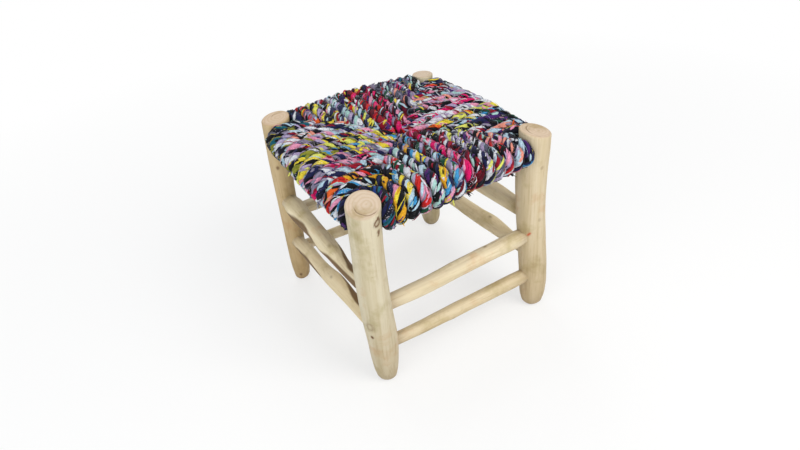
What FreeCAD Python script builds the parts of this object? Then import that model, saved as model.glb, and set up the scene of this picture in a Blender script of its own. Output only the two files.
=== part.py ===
import FreeCAD, Part
import math
import os

# A low Moroccan stool, the kursi: four rough peeled poles for legs, two rungs between
# each pair of legs, a stick rail under each edge of the seat, and a seat wound with
# twisted rag rope. Nothing on it moves.
# Lengths are millimetres. +Z is up, the origin is on the floor under the middle of the
# seat, the front is -Y and the left side is -X.

Vector = FreeCAD.Vector
up = Vector(0, 0, 1)

# Frame
leg_spacing_x = 270.0
leg_spacing_y = 275.0
stool_height = 304.0
front_left_leg_radius = 22.4
front_right_leg_radius = 22.6
back_right_leg_radius = 17.6
back_left_leg_radius = 21.8
top_edge_bevel = 2.4

# Rungs and the joints that hold them
front_upper_radius = 12.6
front_lower_radius = 11.0
back_upper_radius = 11.6
back_lower_radius = 10.4
left_upper_radius = 15.0
left_lower_radius = 12.2
right_upper_radius = 14.0
right_lower_radius = 14.0
joint_clearance = 0.25
shoulder_lead = 0.8
tenon_depth_share = 0.78
leg_sides = 12
rung_sides = 8

# Seat rails
rail_drop = 24.0
rail_radius = 8.3
rail_end_wall = 1.4

# Rope
rope_loops = 7
level_loops = 4
rope_thickness = 14.2
strand_gap = 0.6
rope_clearance = 0.4
edge_swell = 3.0
seat_dip = 10.0
mitre_bend_radius = 12.0
settle_radius = 20.0

rail_height = stool_height - rail_drop
half_x = leg_spacing_x / 2
half_y = leg_spacing_y / 2

# Heights on a leg, as shares of the stool's height. The last is past the sawn top.
height_shares = (0.0, 0.012, 0.04, 0.11, 0.24, 0.42, 0.62, 0.80, 0.93, 1.06)
# All four poles bow in one upright plane, at this heading from +X in degrees.
bow_heading = -29.0

# Each leg's corner, its thickest radius, and as shares of that radius: how far its top
# and its foot stand from the corner, its girth and its bow at the heights above. It is
# sawn off at a share of the stool's height, leaning by the first angle in degrees towards
# the heading that the second one gives.
legs = {
    "front_left_leg": {
        "corner": (-1, -1),
        "radius": front_left_leg_radius,
        "top_shares": (-0.16, -0.11),
        "foot_shares": (0.08, -0.19),
        "girth_shares": (0.42, 0.58, 0.70, 0.835, 0.94, 0.973, 0.96, 0.93, 0.97, 1.04),
        "bow_shares": (0.0, 0.0, 0.0, 0.01, 0.013, -0.12, -0.165, -0.13, -0.08, 0.0),
        "saw_share": 0.986,
        "saw_angles": (19.0, -119.0),
    },
    "front_right_leg": {
        "corner": (1, -1),
        "radius": front_right_leg_radius,
        "top_shares": (-0.06, 0.11),
        "foot_shares": (0.22, -0.15),
        "girth_shares": (0.49, 0.655, 0.79, 0.90, 0.94, 0.95, 0.955, 0.99, 0.965, 0.99),
        "bow_shares": (0.0, 0.01, 0.02, 0.06, 0.035, -0.08, -0.20, -0.17, -0.02, 0.02),
        "saw_share": 1.008,
        "saw_angles": (12.0, -29.0),
    },
    "back_right_leg": {
        "corner": (1, 1),
        "radius": back_right_leg_radius,
        "top_shares": (-0.12, -0.05),
        "foot_shares": (-0.01, 0.07),
        "girth_shares": (0.51, 0.715, 0.90, 1.0, 1.0, 0.977, 0.966, 0.955, 0.955, 0.966),
        "bow_shares": (0.0, 0.0, 0.0, -0.02, -0.02, -0.04, -0.06, -0.09, -0.115, -0.09),
        "saw_share": 0.992,
        "saw_angles": (3.0, 60.0),
    },
    "back_left_leg": {
        "corner": (-1, 1),
        "radius": back_left_leg_radius,
        "top_shares": (0.24, 0.13),
        "foot_shares": (-0.16, 0.20),
        "girth_shares": (0.37, 0.52, 0.615, 0.67, 0.70, 0.715, 0.73, 0.835, 0.945, 1.0),
        "bow_shares": (0.05, 0.08, 0.09, 0.03, -0.02, -0.10, -0.20, -0.20, -0.12, -0.05),
        "saw_share": 1.0,
        "saw_angles": (8.0, 180.0),
    },
}

# Each rung's two legs, its height as a share of the stool's, its thickest radius, and as
# shares of that radius: how far its two ends stand above that height, the girth of its
# ends in the legs, and stations of place along it, girth, lift and sway.
rungs = {
    "front_upper_rung": {
        "legs": ("front_left_leg", "front_right_leg"),
        "height_share": 0.4375,
        "radius": front_upper_radius,
        "end_shares": (-0.16, 0.24),
        "tenon_shares": (0.66, 0.72),
        "station_shares": (
            (0.0, 0.84, 0.0, 0.0), (0.09, 0.87, -0.08, 0.0), (0.27, 0.90, -0.22, 0.05),
            (0.50, 0.94, -0.12, 0.08), (0.78, 0.97, -0.02, 0.03), (0.94, 1.0, 0.0, 0.0),
            (1.0, 0.95, 0.0, 0.0)),
    },
    "front_lower_rung": {
        "legs": ("front_left_leg", "front_right_leg"),
        "height_share": 0.1957,
        "radius": front_lower_radius,
        "end_shares": (0.14, -0.04),
        "tenon_shares": (0.68, 0.74),
        "station_shares": (
            (0.0, 0.82, 0.0, 0.0), (0.08, 0.84, -0.04, 0.0), (0.28, 0.91, -0.12, 0.06),
            (0.52, 0.94, -0.10, 0.05), (0.80, 1.0, -0.02, 0.0), (0.94, 1.0, 0.0, 0.0),
            (1.0, 0.96, 0.0, 0.0)),
    },
    "back_upper_rung": {
        "legs": ("back_left_leg", "back_right_leg"),
        "height_share": 0.4408,
        "radius": back_upper_radius,
        "end_shares": (-0.10, 0.10),
        "tenon_shares": (0.68, 0.62),
        "station_shares": (
            (0.0, 0.84, 0.0, 0.0), (0.10, 0.90, 0.03, 0.0), (0.35, 0.96, 0.12, 0.05),
            (0.62, 1.0, 0.08, 0.02), (0.90, 0.93, 0.0, 0.0), (1.0, 0.84, 0.0, 0.0)),
    },
    "back_lower_rung": {
        "legs": ("back_left_leg", "back_right_leg"),
        "height_share": 0.2007,
        "radius": back_lower_radius,
        "end_shares": (0.10, -0.10),
        "tenon_shares": (0.70, 0.66),
        "station_shares": (
            (0.0, 0.86, 0.0, 0.0), (0.10, 0.92, -0.03, 0.0), (0.40, 1.0, -0.14, 0.05),
            (0.66, 0.95, -0.10, 0.05), (0.90, 0.90, 0.0, 0.0), (1.0, 0.84, 0.0, 0.0)),
    },
    "left_upper_rung": {
        "legs": ("front_left_leg", "back_left_leg"),
        "height_share": 0.5033,
        "radius": left_upper_radius,
        "end_shares": (-0.40, 0.60),
        "tenon_shares": (0.48, 0.50),
        "station_shares": (
            (0.0, 0.58, 0.0, 0.0), (0.10, 0.60, -0.05, 0.0), (0.28, 0.62, -0.22, 0.0),
            (0.37, 0.82, -0.02, 0.0), (0.47, 0.94, -0.05, 0.0), (0.60, 0.88, 0.06, 0.0),
            (0.78, 0.98, -0.10, 0.0), (0.95, 1.0, 0.0, 0.0), (1.0, 0.86, 0.0, 0.0)),
    },
    "left_lower_rung": {
        "legs": ("front_left_leg", "back_left_leg"),
        "height_share": 0.2763,
        "radius": left_lower_radius,
        "end_shares": (0.05, -0.08),
        "tenon_shares": (0.60, 0.58),
        "station_shares": (
            (0.0, 0.76, 0.0, 0.0), (0.10, 0.78, -0.02, 0.0), (0.28, 0.84, 0.0, 0.0),
            (0.46, 1.0, 0.20, 0.0), (0.64, 0.87, -0.16, 0.0), (0.90, 0.92, 0.0, 0.0),
            (1.0, 0.86, 0.0, 0.0)),
    },
    "right_upper_rung": {
        "legs": ("front_right_leg", "back_right_leg"),
        "height_share": 0.5362,
        "radius": right_upper_radius,
        "end_shares": (0.32, -0.18),
        "tenon_shares": (0.56, 0.54),
        "station_shares": (
            (0.0, 0.84, 0.0, 0.0), (0.09, 0.90, 0.05, 0.0), (0.26, 1.0, 0.08, 0.0),
            (0.50, 0.96, -0.04, 0.0), (0.88, 0.88, -0.02, 0.0), (1.0, 0.80, 0.0, 0.0)),
    },
    "right_lower_rung": {
        "legs": ("front_right_leg", "back_right_leg"),
        "height_share": 0.3141,
        "radius": right_lower_radius,
        "end_shares": (0.0, -0.10),
        "tenon_shares": (0.54, 0.54),
        "station_shares": (
            (0.0, 0.72, 0.0, 0.0), (0.10, 0.76, 0.0, 0.0), (0.32, 1.0, 0.12, 0.0),
            (0.46, 0.94, -0.04, 0.0), (0.66, 0.84, -0.08, 0.0), (0.90, 0.80, -0.02, 0.0),
            (1.0, 0.74, 0.0, 0.0)),
    },
}

# Each seat rail's two legs.
rails = {
    "front_seat_rail": ("front_left_leg", "front_right_leg"),
    "back_seat_rail": ("back_left_leg", "back_right_leg"),
    "left_seat_rail": ("front_left_leg", "back_left_leg"),
    "right_seat_rail": ("front_right_leg", "back_right_leg"),
}


def read_table(places, values, place):
    """Read a value between the two entries of a table that lie about the place."""
    for i in range(1, len(places)):
        if place <= places[i] or i == len(places) - 1:
            part = (place - places[i - 1]) / (places[i] - places[i - 1])
            return values[i - 1] + (values[i] - values[i - 1]) * part


def leg_centre(leg, height):
    """The middle of a leg's pole at a height."""
    share = height / stool_height
    corner_x, corner_y = leg["corner"]
    foot_x, foot_y = leg["foot_shares"]
    top_x, top_y = leg["top_shares"]
    bow = read_table(height_shares, leg["bow_shares"], share)
    heading = math.radians(bow_heading)
    off_x = foot_x + (top_x - foot_x) * share + bow * math.cos(heading)
    off_y = foot_y + (top_y - foot_y) * share + bow * math.sin(heading)
    radius = leg["radius"]
    return Vector(corner_x * half_x + off_x * radius, corner_y * half_y + off_y * radius, height)


def leg_girth(leg, height):
    """The radius of a leg's pole at a height."""
    return leg["radius"] * read_table(height_shares, leg["girth_shares"], height / stool_height)


def flats_radius(radius, sides):
    """The corner radius of a stick shaved in flats that is as stout as a round one."""
    turn = 2 * math.pi / sides
    return radius * math.sqrt(turn / math.sin(turn))


def shaved_section(centre, direction, radius, sides):
    """The corners of a stick shaved in flats, one of the flats facing up or out."""
    across = direction.cross(up)
    if across.Length < math.sin(math.pi / sides):
        across = Vector(1, 0, 0)
    across = across.normalize()
    over = across.cross(direction).normalize()
    reach = flats_radius(radius, sides)
    turns = [2 * math.pi * (i + 0.5) / sides for i in range(sides)]
    return [centre + across * (reach * math.sin(turn)) + over * (reach * math.cos(turn))
            for turn in turns]


def flat_face(corners):
    return Part.Face(Part.makePolygon(corners + corners[:1]))


def shaved_stick(sections):
    """A solid through sections of like flats: a long flat runs from each to the next."""
    faces = [flat_face(sections[0]), flat_face(sections[-1])]
    for low, high in zip(sections, sections[1:]):
        for i in range(len(low)):
            faces.append(flat_face([low[i - 1], low[i], high[i], high[i - 1]]))
    return Part.Solid(Part.Shell(faces))


# Legs

def sawn_top(leg):
    """The middle of a leg's sawn top, and the way that top faces."""
    lean, heading = (math.radians(angle) for angle in leg["saw_angles"])
    facing = Vector(math.sin(lean) * math.cos(heading), math.sin(lean) * math.sin(heading),
                    math.cos(lean))
    return leg_centre(leg, leg["saw_share"] * stool_height), facing


def pole(leg):
    """A peeled pole: swelling and bowed, rounded at the foot, sawn askew at the top."""
    heights = [share * stool_height for share in height_shares]
    sections = [shaved_section(leg_centre(leg, h), up, leg_girth(leg, h), leg_sides)
                for h in heights]
    stick = shaved_stick(sections)
    middle, facing = sawn_top(leg)
    reach = leg["radius"] * 2
    stick = stick.cut(Part.makeCylinder(reach, reach, middle, facing))
    rim = [e for e in stick.Edges
           if all(abs((v.Point - middle).dot(facing)) < top_edge_bevel / 10 for v in e.Vertexes)]
    return stick.makeChamfer(top_edge_bevel, rim)


# Rungs and rails

def joint_line(first, second, first_height, second_height):
    """The line between two legs: where it starts, its direction, its length, and the
    distances from the two ends at which it leaves the legs."""
    start = leg_centre(first, first_height)
    run = leg_centre(second, second_height) - start
    leaves = (leg_girth(first, first_height) + shoulder_lead,
              leg_girth(second, second_height) + shoulder_lead)
    return start, Vector(run).normalize(), run.Length, leaves


def shaved_end(start, along, depth, radius, clearance):
    """A stick's end in a leg, shaved in flats, or with a clearance the hole for it."""
    outline = shaved_section(start, along, radius + clearance, rung_sides)
    return flat_face(outline).extrude(along * (depth + clearance))


def rung_ends(joint, clearance):
    """The two tenons of a rung, or with a clearance the holes for them."""
    (start, along, length, leaves), depths, radii = joint
    first = shaved_end(start + along * leaves[0], along * -1, depths[0], radii[0], clearance)
    last = shaved_end(start + along * (length - leaves[1]), along, depths[1], radii[1], clearance)
    return first, last


def rung_joint(rung):
    """Everything about a rung that its legs have to fit."""
    pair = [legs[name] for name in rung["legs"]]
    height = rung["height_share"] * stool_height
    heights = [height + share * rung["radius"] for share in rung["end_shares"]]
    line = joint_line(pair[0], pair[1], heights[0], heights[1])
    girths = [leave - shoulder_lead for leave in line[3]]
    depths = [girth * tenon_depth_share + shoulder_lead for girth in girths]
    radii = [girth * rung["radius"] for girth in rung["tenon_shares"]]
    return line, depths, radii


def make_rung(rung):
    """A shaved stick that swells and wanders between its two ends in the legs."""
    joint = rung_joint(rung)
    start, along, length, leaves = joint[0]
    sideways = up.cross(along).normalize()
    span = length - leaves[0] - leaves[1]
    sections = []
    for place, girth, lift, sway in rung["station_shares"]:
        centre = start + along * (leaves[0] + span * place)
        centre += up * (lift * rung["radius"]) + sideways * (sway * rung["radius"])
        sections.append(shaved_section(centre, along, girth * rung["radius"], rung_sides))
    return shaved_stick(sections).fuse(rung_ends(joint, 0)).removeSplitter()


def rail_line(pair):
    """A seat rail's axis: where it starts, its direction and the distances along it of its
    two ends. Two rails meet in each leg at one height, so they stop short of each other."""
    first, last = (Vector(legs[name]["corner"][0] * half_x, legs[name]["corner"][1] * half_y,
                          rail_height) for name in pair)
    run = last - first
    back = flats_radius(rail_radius, rung_sides) + rail_end_wall
    return first, Vector(run).normalize(), back, run.Length - back


def make_rail(pair, clearance=0):
    """A plain straight stick, or with a clearance the hole that it needs."""
    start, along, first, last = rail_line(pair)
    return shaved_end(start + along * (first - clearance), along,
                      last - first + clearance, rail_radius, clearance)


def make_leg(name):
    """A pole with a blind hole for each stick that it takes."""
    solid = pole(legs[name])
    for rung in rungs.values():
        if name in rung["legs"]:
            hole = rung_ends(rung_joint(rung), joint_clearance)[rung["legs"].index(name)]
            solid = solid.cut(hole)
    for pair in rails.values():
        if name in pair:
            solid = solid.cut(make_rail(pair, joint_clearance))
    return solid


# Rope seat

half_thickness = rope_thickness / 2
wrap_radius = flats_radius(rail_radius, rung_sides) + rope_clearance + half_thickness
underside = rail_height - wrap_radius


def leg_reach(leg, axis):
    """How far a leg's pole stands in from its corner, along X or Y, within the seat."""
    low = underside - half_thickness
    steps = 6
    reaches = []
    for i in range(steps + 1):
        height = low + (stool_height - low) * i / steps
        centre = leg_centre(leg, height)
        offset = (half_x - abs(centre.x), half_y - abs(centre.y))[axis]
        reaches.append(offset + flats_radius(leg_girth(leg, height), leg_sides))
    return max(reaches)


def strand_places(leg):
    """The loops' distances from a leg's corner along X and along Y, and their width."""
    places = []
    width = leg_spacing_x
    for axis, half in ((0, half_x), (1, half_y)):
        reach = leg_reach(leg, axis) + rope_clearance
        pitch = (half - reach) / rope_loops
        width = min(width, pitch - strand_gap)
        places.append([reach + pitch * (i + 0.5) for i in range(rope_loops)])
    return places[0], places[1], width


def loop_swell(loop):
    """How much further a loop bulges than the first one, more towards mid-rail."""
    return edge_swell * loop / (rope_loops - 1)


def loop_dip(loop):
    """How far a loop falls from the rail to the seat's diagonal. The first lie level."""
    return seat_dip * max(0, loop + 1 - level_loops) / (rope_loops - level_loops)


def loop_mitre_height(loop):
    """The height of a loop's middle where it turns on the seat's diagonal."""
    return rail_height + wrap_radius + 2 * loop_swell(loop) - loop_dip(loop)


def fall_angle(reach, rise, radii):
    """The slope of a strand that leaves one round, falls, and runs on under another whose
    centre is so far along and up from the first one's, their radii adding up to radii."""
    return math.asin(radii / math.hypot(reach, rise)) - math.atan2(rise, reach)


class Corner:
    """A corner of the seat, with its own axes: u and v run in from the leg."""

    def __init__(self, leg):
        self.signs = leg["corner"]

    def point(self, u, v, z):
        sign_x, sign_y = self.signs
        return Vector(sign_x * (half_x - u), sign_y * (half_y - v), z)


def line_edge(start, end):
    return Part.LineSegment(start, end).toShape()


def arc_edge(start, middle, end):
    return Part.Arc(start, middle, end).toShape()


def half_loop(place, loop, level_from):
    """One strand's way over a rail: up the outside from the underside and over the rail,
    then if it dips down a slope and level again. place(s, z) is the point at a distance s
    inside the rail."""
    radius = wrap_radius + loop_swell(loop)
    centre = underside + radius
    level = loop_mitre_height(loop)

    def around(angle):
        return place(-radius * math.cos(angle), centre + radius * math.sin(angle))

    def settling(angle):
        return place(level_from - settle_radius * math.sin(angle),
                     level + settle_radius * (1 - math.cos(angle)))

    quarter = math.pi / 2
    if not loop_dip(loop):
        return [(around(-quarter), around(0), around(quarter)), (around(quarter), settling(0))]
    slope = fall_angle(level_from, level + settle_radius - centre, radius + settle_radius)
    over = quarter + slope
    return [(around(-quarter), around(0), around(over)), (around(over), settling(slope)),
            (settling(slope), settling(slope / 2), settling(0))]


def path_edges(pieces):
    """The edges through pieces of two points, a straight run, or three, an arc."""
    return [line_edge(*piece) if len(piece) == 2 else arc_edge(*piece) for piece in pieces]


def turned_back(pieces):
    return [piece[::-1] for piece in reversed(pieces)]


def corner_bend(corner, u, v, z):
    """A level bend at (u, v) between the strand's run along v and its run along u."""
    share = 1 - math.sqrt(0.5)
    return (corner.point(u, v - mitre_bend_radius, z),
            corner.point(u - mitre_bend_radius * share, v - mitre_bend_radius * share, z),
            corner.point(u - mitre_bend_radius, v, z))


def winding_path(leg):
    """One corner's rope, from its end against the first strand to its end at mid-seat."""
    corner = Corner(leg)
    us, vs, width = strand_places(leg)
    pieces = [(corner.point(us[0], vs[0] - mitre_bend_radius, underside),
               corner.point(us[0], 0, underside))]
    for loop in range(rope_loops):
        u, v = us[loop], vs[loop]
        pieces += half_loop(lambda s, z: corner.point(u, s, z), loop, v - mitre_bend_radius)
        pieces.append(corner_bend(corner, u, v, loop_mitre_height(loop)))
        pieces += turned_back(
            half_loop(lambda s, z: corner.point(s, v, z), loop, u - mitre_bend_radius))
        here = corner.point(0, v, underside)
        if loop < rope_loops - 1:
            next_u = us[loop + 1]
            low_bend = corner_bend(corner, next_u, v, underside)[::-1]
            pieces += [(here, low_bend[0]), low_bend,
                       (low_bend[-1], corner.point(next_u, 0, underside))]
    pieces.append((here, corner.point(half_x - strand_gap / 2, vs[-1], underside)))
    return path_edges(pieces), width


def path_frames(edges, first_normal, step):
    """Short pieces of a flat strand: middle, direction, normal and length."""
    frames = []
    normal = first_normal
    for edge in edges:
        count = max(1, int(edge.Length / step + 1))
        for i in range(2 * count + 1):
            share = i / (2 * count)
            if edge.Orientation == "Reversed":
                share = 1 - share
            at = edge.getParameterByLength(edge.Length * share)
            direction = edge.tangentAt(at)
            normal = (normal - direction * normal.dot(direction)).normalize()
            if i % 2:
                frames.append((edge.valueAt(at), direction, normal, edge.Length / count))
    return frames


def half_reach(frame, axis, width):
    """How far half of a short piece of strand reaches along an axis."""
    middle, direction, normal, length = frame
    side = direction.cross(normal)
    return (abs(side.dot(axis)) * width + abs(normal.dot(axis)) * rope_thickness
            + abs(direction.dot(axis)) * length) / 2


def piece_gap(first, second, width):
    """The gap between two short pieces of strand, along the direction that shows it most."""
    between = second[0] - first[0]
    axes = []
    for middle, direction, normal, length in (first, second):
        axes += [direction, normal, direction.cross(normal)]
    return max(abs(between.dot(axis)) - half_reach(first, axis, width)
               - half_reach(second, axis, width) for axis in axes)


def least_gap(frames, width):
    """The least gap between a strand and its own other turns, measured on points."""
    cell = width * 1.5
    skip = width * 2.5
    cells = {}
    travelled = 0
    places = []
    for i, frame in enumerate(frames):
        places.append(travelled + frame[3] / 2)
        travelled += frame[3]
        cells.setdefault(tuple(int(math.floor(c / cell)) for c in frame[0]), []).append(i)
    least = cell
    for (a, b, c), here in cells.items():
        near = [j for x in (a - 1, a, a + 1) for y in (b - 1, b, b + 1) for z in (c - 1, c, c + 1)
                for j in cells.get((x, y, z), [])]
        for i, j in ((i, j) for i in here for j in near if places[j] - places[i] > skip):
            least = min(least, piece_gap(frames[i], frames[j], width))
    return least


def make_winding(leg):
    """One corner's winding: a single unbroken strand, pressed flat by its neighbours."""
    edges, width = winding_path(leg)
    start, next_point = (vertex.Point for vertex in edges[0].Vertexes)
    along = (next_point - start).normalize()
    side = along.cross(up) * (width / 2)
    rise = up * half_thickness
    corners = [start + side + rise, start - side + rise, start - side - rise, start + side - rise]
    section = Part.makePolygon(corners + corners[:1])
    strand = Part.Wire(edges).makePipeShell([section], True, False)
    gap = least_gap(path_frames(edges, up, width / 4), width)
    print("winding: width %.2f, length %.0f, least gap to itself %.2f"
          % (width, sum(edge.Length for edge in edges), gap))
    return strand


def make_rope():
    return Part.Compound([make_winding(leg) for leg in legs.values()])


def make_stuffing():
    """The rag stuffing between the upper and the lower strands, inside the rails."""
    low = underside + half_thickness + rope_clearance
    high = loop_mitre_height(rope_loops - 1) - half_thickness - rope_clearance
    inset = flats_radius(rail_radius, rung_sides) + rope_clearance
    reach_x = half_x - inset
    reach_y = half_y - inset
    pad = Part.makeBox(reach_x * 2, reach_y * 2, high - low, Vector(-reach_x, -reach_y, low))
    for leg in legs.values():
        middle = leg_centre(leg, rail_height)
        reach = flats_radius(leg_girth(leg, rail_height), leg_sides) + rope_clearance * 2
        hole = Part.makeCylinder(reach, high - low, Vector(middle.x, middle.y, low))
        pad = pad.cut(hole)
    return pad


parts = {name: make_leg(name) for name in legs}
parts.update({name: make_rung(rung) for name, rung in rungs.items()})
parts.update({name: make_rail(pair) for name, pair in rails.items()})
parts["rope_seat"] = make_rope()
parts["seat_stuffing"] = make_stuffing()

os.makedirs("parts", exist_ok=True)
for name, shape in parts.items():
    shape.exportStep("parts/" + name + ".step")
    print(name, "solids", len(shape.Solids), "valid", shape.isValid(),
          "volume %.0f" % shape.Volume)
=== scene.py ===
# %% [markdown]
# # A rag-rope kursi stool
# The real stool is four peeled poles, eight shaved rungs and a seat wound from rope that
# is twisted out of torn cloth. This notebook dresses the CAD model of it, piece by piece:
# first the camera and the light, then the wood, then the rope. The CAD model comes in as a
# frame that nothing here moves. Lengths are metres, +Z is up and the front is -Y.

# %% The frame from the CAD
import math
from collections import namedtuple

import bpy
import numpy as np
from mathutils import Matrix, Vector, noise


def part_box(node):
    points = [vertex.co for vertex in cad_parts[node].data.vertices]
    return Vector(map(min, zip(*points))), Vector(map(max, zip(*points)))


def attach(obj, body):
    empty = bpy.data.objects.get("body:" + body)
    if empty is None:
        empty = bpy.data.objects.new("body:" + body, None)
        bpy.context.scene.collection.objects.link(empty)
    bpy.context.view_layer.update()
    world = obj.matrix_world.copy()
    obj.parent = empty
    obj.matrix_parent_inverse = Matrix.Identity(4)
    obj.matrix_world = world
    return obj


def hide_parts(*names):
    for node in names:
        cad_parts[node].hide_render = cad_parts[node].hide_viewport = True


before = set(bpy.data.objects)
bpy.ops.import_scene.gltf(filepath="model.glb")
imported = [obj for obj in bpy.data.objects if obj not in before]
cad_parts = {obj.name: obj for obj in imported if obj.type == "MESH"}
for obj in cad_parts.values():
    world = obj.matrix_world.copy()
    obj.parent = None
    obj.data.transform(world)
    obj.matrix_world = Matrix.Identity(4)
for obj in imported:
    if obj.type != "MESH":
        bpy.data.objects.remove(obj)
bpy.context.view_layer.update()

# %% [markdown]
# The camera stands where the photograph's did. It could be moved by eye until the picture
# fits, but every later judgement of a shape rests on it. So its place and turn were solved
# from the four poles: an upright line on each has to fall on its pole in the picture. A
# camera's own axes are right, up and back, and these three make its rotation.

# %% The camera
camera_place = Vector((-0.425338, -0.734320, 0.732012))
camera_heading, camera_tilt, camera_roll = (math.radians(a) for a in (-29.354, 35.332, -4.760))


def put_in_scene(name, data):
    """An object that shows a mesh, a lamp or a camera."""
    holder = bpy.data.objects.new(name, data)
    bpy.context.scene.collection.objects.link(holder)
    return holder


back = Vector((math.sin(camera_heading) * math.cos(camera_tilt),
               -math.cos(camera_heading) * math.cos(camera_tilt), math.sin(camera_tilt)))
level_right = (-back).cross(Vector((0, 0, 1))).normalized()
level_up = level_right.cross(-back)
right = level_right * math.cos(camera_roll) + level_up * math.sin(camera_roll)
top = level_up * math.cos(camera_roll) - level_right * math.sin(camera_roll)

camera_data = bpy.data.cameras.new("camera")
camera_data.sensor_width = 36.0
camera_data.lens = 29.71
camera = put_in_scene("camera", camera_data)
camera.matrix_world = (Matrix.Translation(camera_place)
                       @ Matrix((right, top, back)).transposed().to_4x4())
bpy.context.scene.camera = camera
bpy.context.scene.view_settings.view_transform = "Standard"
print("camera at", tuple(round(c, 3) for c in camera_place))

# %% [markdown]
# The sky, the floor and every finish below are small nets of shader nodes. They could be
# wired node by node, but the same moves come back all the time: make a node, feed its
# sockets, work something out. A helper for each keeps the recipes short enough to read.

# %% Helpers for materials
def new_material(name):
    """An empty node material and its tree of nodes."""
    material = bpy.data.materials.new(name)
    material.use_nodes = True
    material.node_tree.nodes.clear()
    return material, material.node_tree


def feed(tree, socket, value):
    """Link a socket from another one, or give it a plain value."""
    if isinstance(value, bpy.types.NodeSocket):
        tree.links.new(value, socket)
    else:
        socket.default_value = value


def add_node(tree, kind, settings=None, **inputs):
    """A node with its settings and inputs, each by its name or as _ and its number."""
    node = tree.nodes.new(kind)
    for name, value in (settings or {}).items():
        setattr(node, name, value)
    for name, value in inputs.items():
        numbered = name[0] == "_" and name[1:].isdigit()
        feed(tree, node.inputs[int(name[1:]) if numbered else name.replace("_", " ")], value)
    return node


def work_out(tree, operation, *values):
    """The result of a sum such as MULTIPLY, done on sockets and numbers."""
    node = add_node(tree, "ShaderNodeMath", {"operation": operation})
    for socket, value in zip(node.inputs, values):
        feed(tree, socket, value)
    return node.outputs[0]


print("materials that came with the CAD:", len(bpy.data.materials))

# %% [markdown]
# The photograph has a white ground and soft light from above and from the right, with
# darker undersides. One strong lamp would give hard shadows, and a white sky alone would
# wash the undersides out, so three large lamps share the work with a pale sky. The sky is
# pure white only where the camera or a glossy surface sees it, so the white doesn't light
# the wood.

# %% The sky
world = bpy.data.worlds.new("studio")
bpy.context.scene.world = world
world.use_nodes = True
sky = world.node_tree
sky.nodes.clear()
rays = sky.nodes.new("ShaderNodeLightPath").outputs
seen = work_out(sky, "MAXIMUM", rays["Is Camera Ray"], rays["Is Glossy Ray"])
seen = work_out(sky, "MAXIMUM", seen, rays["Is Transmission Ray"])
soft = add_node(sky, "ShaderNodeBackground", Color=(0.93, 0.96, 1.0, 1), Strength=0.52)
white = add_node(sky, "ShaderNodeBackground", Color=(1, 1, 1, 1), Strength=1.0)
mixed = add_node(sky, "ShaderNodeMixShader", _0=seen, _1=soft.outputs[0], _2=white.outputs[0])
add_node(sky, "ShaderNodeOutputWorld", Surface=mixed.outputs[0])
print("sky nodes:", len(sky.nodes))

# %% The lamps
stool_middle = Vector((0, 0, 0.15))


def lamp(name, place, size, power, colour):
    """A square soft lamp that points at the middle of the stool."""
    data = bpy.data.lights.new(name, "AREA")
    data.size = size
    data.energy = power
    data.color = colour
    holder = put_in_scene(name, data)
    holder.location = place
    aim = stool_middle - Vector(place)
    holder.rotation_euler = aim.to_track_quat("-Z", "Y").to_euler()


lamp("key", (0.55, -1.35, 1.50), 1.1, 23, (1.0, 0.97, 0.93))
lamp("fill", (-1.6, -0.8, 0.9), 1.6, 17, (0.96, 0.98, 1.0))
lamp("rim", (0.2, 1.5, 1.5), 1.3, 9, (1.0, 1.0, 1.0))
print("lamps:", [o.name for o in bpy.context.scene.objects if o.type == "LIGHT"])

# %% [markdown]
# The floor is a plain pale sheet that keeps the stool's shadow. A matt sheet alone would
# end in a grey line against the sky. So it also glows to the camera, a little near the
# stool and wholly further out, and the white ground runs on into the white sky.

# %% The floor
floor_reach = 6.0
floor_drop = 0.0004
glow_starts, glow_full = 0.25, 1.3
near_glow = 0.62

floor_mesh = bpy.data.meshes.new("floor")
floor_mesh.from_pydata([(-floor_reach, -floor_reach, 0), (floor_reach, -floor_reach, 0),
                        (floor_reach, floor_reach, 0), (-floor_reach, floor_reach, 0)],
                       [], [(0, 1, 2, 3)])
floor = put_in_scene("floor", floor_mesh)
floor.location.z = -floor_drop

floor_paint, tree = new_material("floor_paint")
matt = add_node(tree, "ShaderNodeBsdfDiffuse", Color=(0.86, 0.86, 0.85, 1))
glow = add_node(tree, "ShaderNodeEmission", Color=(1, 1, 1, 1), Strength=1.0)
spot = tree.nodes.new("ShaderNodeTexCoord").outputs["Object"]
away = add_node(tree, "ShaderNodeVectorMath", {"operation": "LENGTH"}, _0=spot).outputs["Value"]
glow_share = add_node(tree, "ShaderNodeMapRange", Value=away, From_Min=glow_starts,
                      From_Max=glow_full, To_Min=near_glow, To_Max=1.0).outputs[0]
camera_ray = tree.nodes.new("ShaderNodeLightPath").outputs["Is Camera Ray"]
both = add_node(tree, "ShaderNodeMixShader", _0=work_out(tree, "MULTIPLY", camera_ray, glow_share),
                _1=matt.outputs[0], _2=glow.outputs[0])
add_node(tree, "ShaderNodeOutputMaterial", Surface=both.outputs[0])
floor_mesh.materials.append(floor_paint)
print("floor reaches", floor_reach, "m, all white from", glow_full, "m on")

# %% [markdown]
# Each pole is a young trunk with its own bow and girth. A bent cylinder could stand for
# it, but a skin over rings is as easy and takes any shape: each ring can swell, drift with
# the bow and be dented by a knife. The numbers are the CAD model's, because the two share
# one frame. The CAD has long flats between its heights; here a smooth curve runs through.

# %% The numbers of the poles, as in the CAD
stool_height = 0.304
half_x, half_y = 0.135, 0.1375
height_shares = (0.0, 0.012, 0.04, 0.11, 0.24, 0.42, 0.62, 0.80, 0.93, 1.06)
bow_heading = math.radians(-29.0)

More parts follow.
